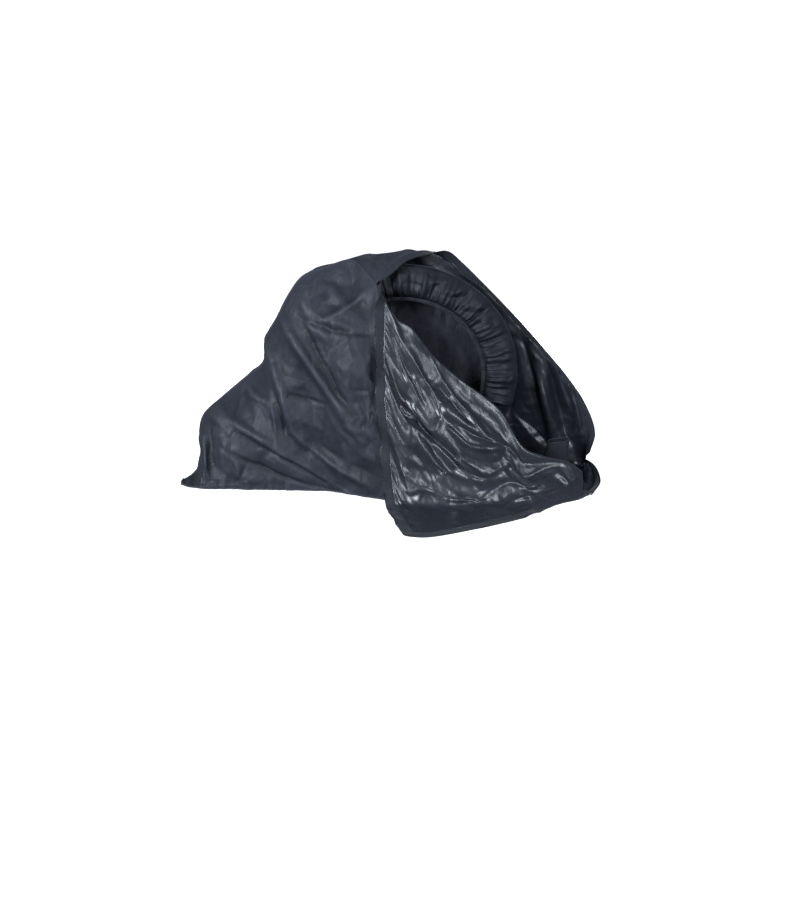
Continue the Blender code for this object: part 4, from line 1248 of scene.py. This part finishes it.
def make_base(near_foot, far_foot, flap_end):
    """Flat bottom between the feet of the two side panels, with a crumpled nose out to the curled tape."""
    near = evenly(near_foot[near_foot[:, 0] > BASE_REAR - TAIL_REACH], BASE_COLUMNS)
    far = evenly(far_foot[far_foot[:, 0] > BASE_REAR - TAIL_REACH], BASE_COLUMNS)
    v = np.linspace(0.0, 1.0, BASE_ROWS + 1)
    across = unit(far - near)
    near, far = near + across * BASE_INSET, far - across * BASE_INSET
    grid = near[:, None] * (1 - v[None, :, None]) + far[:, None] * v[None, :, None]
    flat = (1.0, 1.0, 0.0)
    nose = [near_foot[-1] * flat, flap_end * flat, *(CURL[:, :3] * flat + NOSE_OUT), far_foot[-1] * flat]
    nose = evenly(np.array(nose), BASE_ROWS)
    s = np.linspace(0.0, 1.0, NOSE_ROWS + 1)[1:, None]
    grid = np.concatenate([grid, grid[-1:] * (1 - s[..., None]) + nose[None] * s[..., None]])
    x, y = grid[..., 0], grid[..., 1]
    more, most = BASE_CRUMPLE
    inner = np.sin(math.pi * v) ** 0.5
    grid[..., 2] = BASE_LIFT + np.clip(facets(x, y, *BASE_FACETS) + more, 0.0, most) * inner
    lift, start, part = NOSE_LIFTED
    end = 1.0 - lift * np.clip((v - start) / part, 0.0, 1.0)
    bulge = np.clip(np.sin(math.pi * end * s), 0.0, 1.0) ** 0.6 * np.sin(math.pi * v ** 1.3) ** 0.6
    rough = 1.0 + NOSE_ROUGH * facets(x, y, *NOSE_FACETS)[-NOSE_ROWS:]
    grid[-NOSE_ROWS:, :, 2] += NOSE_HEIGHT * bulge * np.clip(rough, 0.4, 1.4)
    return add_sheet("base_cloth", grid, x, y, [INNER_BASE, OUTER], "base_cloth", ("base_gusset",))


def make_sleeve():
    """Small sleeve with a hemmed mouth."""
    angle = (np.arange(SLEEVE_SIDES) * 2 * math.pi / SLEEVE_SIDES)[:, None]
    c, s = np.cos(angle), np.sin(angle)
    v = np.linspace(0.0, 1.0, SLEEVE_ROWS + 1)[None, :]
    half_x = (SLEEVE_FOOT[0] * (1 - v) + SLEEVE_TOP[0] * v) / 2
    half_y = (SLEEVE_FOOT[1] * (1 - v) + SLEEVE_TOP[1] * v) / 2
    slack = SLEEVE_SLACK * np.sin(3 * angle + 5 * v + 1.0) * np.sin(math.pi * v)
    flat = np.broadcast_arrays(angle * SLEEVE_FLAT[0], v * SLEEVE_HEIGHT)
    slack += facets(*flat, *SLEEVE_FACETS) * np.sin(math.pi * v)
    x = SLEEVE_PLACE[0] + SLEEVE_LEAN * v + (half_x + slack) * np.sign(c) * np.abs(c) ** SLEEVE_CORNER
    y = SLEEVE_PLACE[1] + (half_y + slack) * np.sign(s) * np.abs(s) ** SLEEVE_CORNER
    z = 2 * CLOTH + v * SLEEVE_HEIGHT + SLEEVE_SLOPE * v * c
    grid = np.stack([x, y, z], axis=2)
    sleeve = add_sheet("fork_sleeve_cloth", grid, angle * SLEEVE_FLAT[1], z, [SLEEVE, SLEEVE], "sleeve_cloth",
                       ("fork_sleeve",), closed=True, thickness=TRIM_SKIN)
    points, faces = tube(grid[:, -1], *HEM, UPWARD, 10, True)
    add_piece("fork_sleeve_hem", points, faces, [SLEEVE], "sleeve_cloth")
    ring = np.vstack([grid[:, HEM_ROW], grid[:1, HEM_ROW]])
    out = unit(ring - grid[:, HEM_ROW].mean(axis=0))
    add_threads("fork_sleeve_stitches", [thread(ring + out * HEM_OVER, out, HEM_PITCH)], "sleeve_cloth")
    return sleeve


def make_seams(grid, far_grid):
    """Seams that join the panels along the top and the panels to the base."""
    near_top = grid[:REAR_COLUMNS + 1, WALL_ROWS]
    far_top = spline(far_grid[:FAR_REAR_COLUMNS + 1, -1], len(near_top) - 1)
    middle = evenly((near_top + far_top) / 2, TOP_STEPS)
    up = np.tile([0.0, -0.35, 1.0], (len(middle), 1))
    add_piece("top_seam", *tube(middle, *TOP_SEAM, up), [OUTER], "panel_cloth")
    feet = []
    for name, foot, side in (("near_foot_seam", grid[:, 0], -1.0), ("far_foot_seam", far_grid[:, 0], 1.0)):
        path = evenly(foot, SEAM_STEPS)
        path[:, 2] = FOOT_SEAM
        add_piece(name, *tube(path, *FOOT_CORD, UPWARD, 8), [OUTER], "panel_cloth")
        path[:, 2] = FOOT_STITCHES
        out = np.tile([0.0, side, 0.15], (len(path), 1))
        feet.append(thread(path + out * FOOT_OVER, out, SEAM_PITCH))
    add_threads("foot_stitches", feet, "panel_cloth")


# ---- what it is made of: darkest and palest colour, colour of the painted highlight on sharp ridges, roughness from and to, crinkle ----
OUTER = cloth("outer_nylon", (0.0145, 0.0160, 0.0238), (0.0222, 0.0245, 0.0352), (0.060, 0.064, 0.088),
              (0.50, 0.62), (16.0, 0.13, 0.00004), sheen=0.04)
INNER = cloth("inner_coating", (0.012, 0.014, 0.021), (0.020, 0.022, 0.033), (0.030, 0.033, 0.047),
              (0.34, 0.44), (14.0, 0.07, 0.00001), coat=(0.72, 0.31))
INNER_BASE = cloth("base_coating", (0.008, 0.009, 0.014), (0.014, 0.015, 0.022), (0.026, 0.028, 0.040),
                   (0.34, 0.50), (18.0, 0.10, 0.00004))
POCKET = cloth("pocket_nylon", (0.017, 0.019, 0.028), (0.027, 0.029, 0.042), (0.046, 0.050, 0.070),
               (0.40, 0.54), (40.0, 0.12, 0.00004), sheen=0.05)
POCKET_IN = cloth("pocket_lining", (0.010, 0.011, 0.017), (0.017, 0.018, 0.027), (0.026, 0.028, 0.040),
                  (0.50, 0.66), (20.0, 0.10, 0.00004))
POCKET_BACK_OUT = cloth("pocket_back_nylon", (0.015, 0.016, 0.024), (0.024, 0.026, 0.037),
                        (0.036, 0.039, 0.055), (0.46, 0.60), (18.0, 0.12, 0.00004))
TAPE = cloth("zip_tape_weave", (0.016, 0.017, 0.024), (0.025, 0.027, 0.037), (0.040, 0.043, 0.057),
             (0.62, 0.80), (90.0, 0.05, 0.00020), sheen=0.10, weave=2600.0)
TEETH = cloth("zip_coil_plastic", (0.008, 0.009, 0.013), (0.016, 0.017, 0.023), (0.034, 0.036, 0.046),
              (0.34, 0.46), (300.0, 0.05, 0.00003), threads=False)
ELASTIC = cloth("elastic_braid", (0.007, 0.008, 0.012), (0.013, 0.014, 0.020), (0.024, 0.026, 0.035),
                (0.62, 0.80), (120.0, 0.10, 0.00020), sheen=0.10, threads=False, weave=2200.0)
SLEEVE = cloth("sleeve_canvas", (0.009, 0.010, 0.015), (0.016, 0.017, 0.024), (0.030, 0.032, 0.043),
               (0.74, 0.90), (40.0, 0.10, 0.00030), sheen=0.12, weave=1500.0)
THREAD = cloth("sewing_thread", (0.022, 0.024, 0.033), (0.036, 0.039, 0.052), (0.056, 0.060, 0.078),
               (0.50, 0.66), (300.0, 0.05, 0.00010), sheen=0.10, threads=False, weave=4200.0)

# ---- the pieces ----
near_grid, flap_grid = settle_wall(), settle_flap()
near_cloth = make_near_panel(near_grid, flap_grid)
far_grid, far_lip, far_cloth = make_far_panel()
make_near_tape(flap_grid)
make_far_tape(far_grid, far_lip)
pocket, pocket_back = make_pocket(), make_pocket_back()
make_pocket_trim()
base_cloth = make_base(near_grid[:, 0], far_grid[:, 0], flap_grid[-1, -1])
sleeve = make_sleeve()
make_seams(near_grid, far_grid)

# ---- floor, light and camera ----
def make_paper():
    """Pale paper that is brighter towards the back."""
    material, tree, shader = new_material("pale_paper")
    place = node(tree, "TexCoord").outputs["Object"]
    mottled = noise(tree, place, 2.5, 3.0, 0.5)
    tone = ramp(tree, mottled, (0.3, (0.90,) * 3), (0.7, (0.90 * 1.01,) * 3))
    away = node(tree, "SeparateXYZ", {"Vector": place}).outputs["Y"]
    fill(tree, shader, {"Base Color": tone, "Roughness": 0.9, "Specular IOR Level": 0.2,
                        "Emission Color": WHITE,
                        "Emission Strength": spread(tree, away, 0.7, 0.95, 1.0, 5.0)})
    return material


def make_stage():
    """A pale sweep: floor, a wide round turn and a wall behind."""
    profile = [(-9.0, 0.0), (4.0, 0.0)]
    for step in range(1, 17):
        a = step / 16 * math.pi / 2
        profile.append((4.0 + 2.5 * math.sin(a), 2.5 - 2.5 * math.cos(a)))
    profile.append((6.5, 9.0))
    points = [(x, y, z) for x in (-12.0, 12.0) for y, z in profile]
    count = len(profile)
    mesh = bpy.data.meshes.new("sweep")
    faces = [(step, count + step, count + step + 1, step + 1) for step in range(count - 1)]
    mesh.from_pydata(points, [], faces)
    mesh.shade_smooth()
    mesh.materials.append(make_paper())
    sweep = bpy.data.objects.new("sweep", mesh)
    bpy.context.scene.collection.objects.link(sweep)
    sweep.visible_glossy = False
    sweep.visible_diffuse = False


def add_light(name, place, aim, size, power, glossy=True):
    light = bpy.data.lights.new(name, "AREA")
    light.shape = "RECTANGLE"
    light.size, light.size_y = size
    light.energy = power
    light.color = (0.87, 0.93, 1.0)
    lamp = bpy.data.objects.new(name, light)
    lamp.location = place
    lamp.rotation_euler = (Vector(aim) - Vector(place)).to_track_quat("-Z", "Y").to_euler()
    lamp.visible_glossy = glossy
    bpy.context.scene.collection.objects.link(lamp)


def make_world():
    """Weak bluish light from all round, and a white surround where the sweep doesn't reach."""
    world = bpy.data.worlds.new("studio")
    world.use_nodes = True
    tree = world.node_tree
    around = tree.nodes["Background"]
    fill(tree, around, {"Color": (0.90, 0.95, 1.0, 1.0), "Strength": 0.16})
    seen = node(tree, "Background", {"Color": WHITE}).outputs["Background"]
    ray = node(tree, "LightPath").outputs["Is Camera Ray"]
    mixed = node(tree, "MixShader", {"Fac": ray, 1: around.outputs["Background"], 2: seen})
    fill(tree, tree.nodes["World Output"], {"Surface": mixed.outputs["Shader"]})
    bpy.context.scene.world = world


make_stage()
add_light("key_softbox", (-2.1, -2.3, 1.45), (0.0, -0.1, 0.2), (1.0, 1.0), 108.0)
add_light("side_softbox", (1.7, -2.3, 2.0), (0.3, 0.1, 0.2), (0.6, 1.1), 40.0)
add_light("low_softbox", (1.9, -1.7, 0.7), (0.52, 0.12, 0.30), (0.5, 0.8), 8.0)
add_light("top_softbox", (0.2, 0.3, 2.9), (0.1, 0.0, 0.0), (2.4, 1.6), 7.0, glossy=False)
add_light("back_softbox", (0.9, 2.7, 1.5), (0.0, 0.1, 0.3), (1.4, 1.2), 70.0, glossy=False)
make_world()
bpy.context.scene.view_settings.view_transform = "Standard"

lens = bpy.data.cameras.new("camera")
lens.lens = 44.0
lens.sensor_width = 36.0
camera = bpy.data.objects.new("camera", lens)
camera.location = (0.02426, -2.98791, 1.0566)
camera.rotation_euler = (math.radians(73.0), 0.0, 0.0)
bpy.context.scene.collection.objects.link(camera)
bpy.context.scene.camera = camera
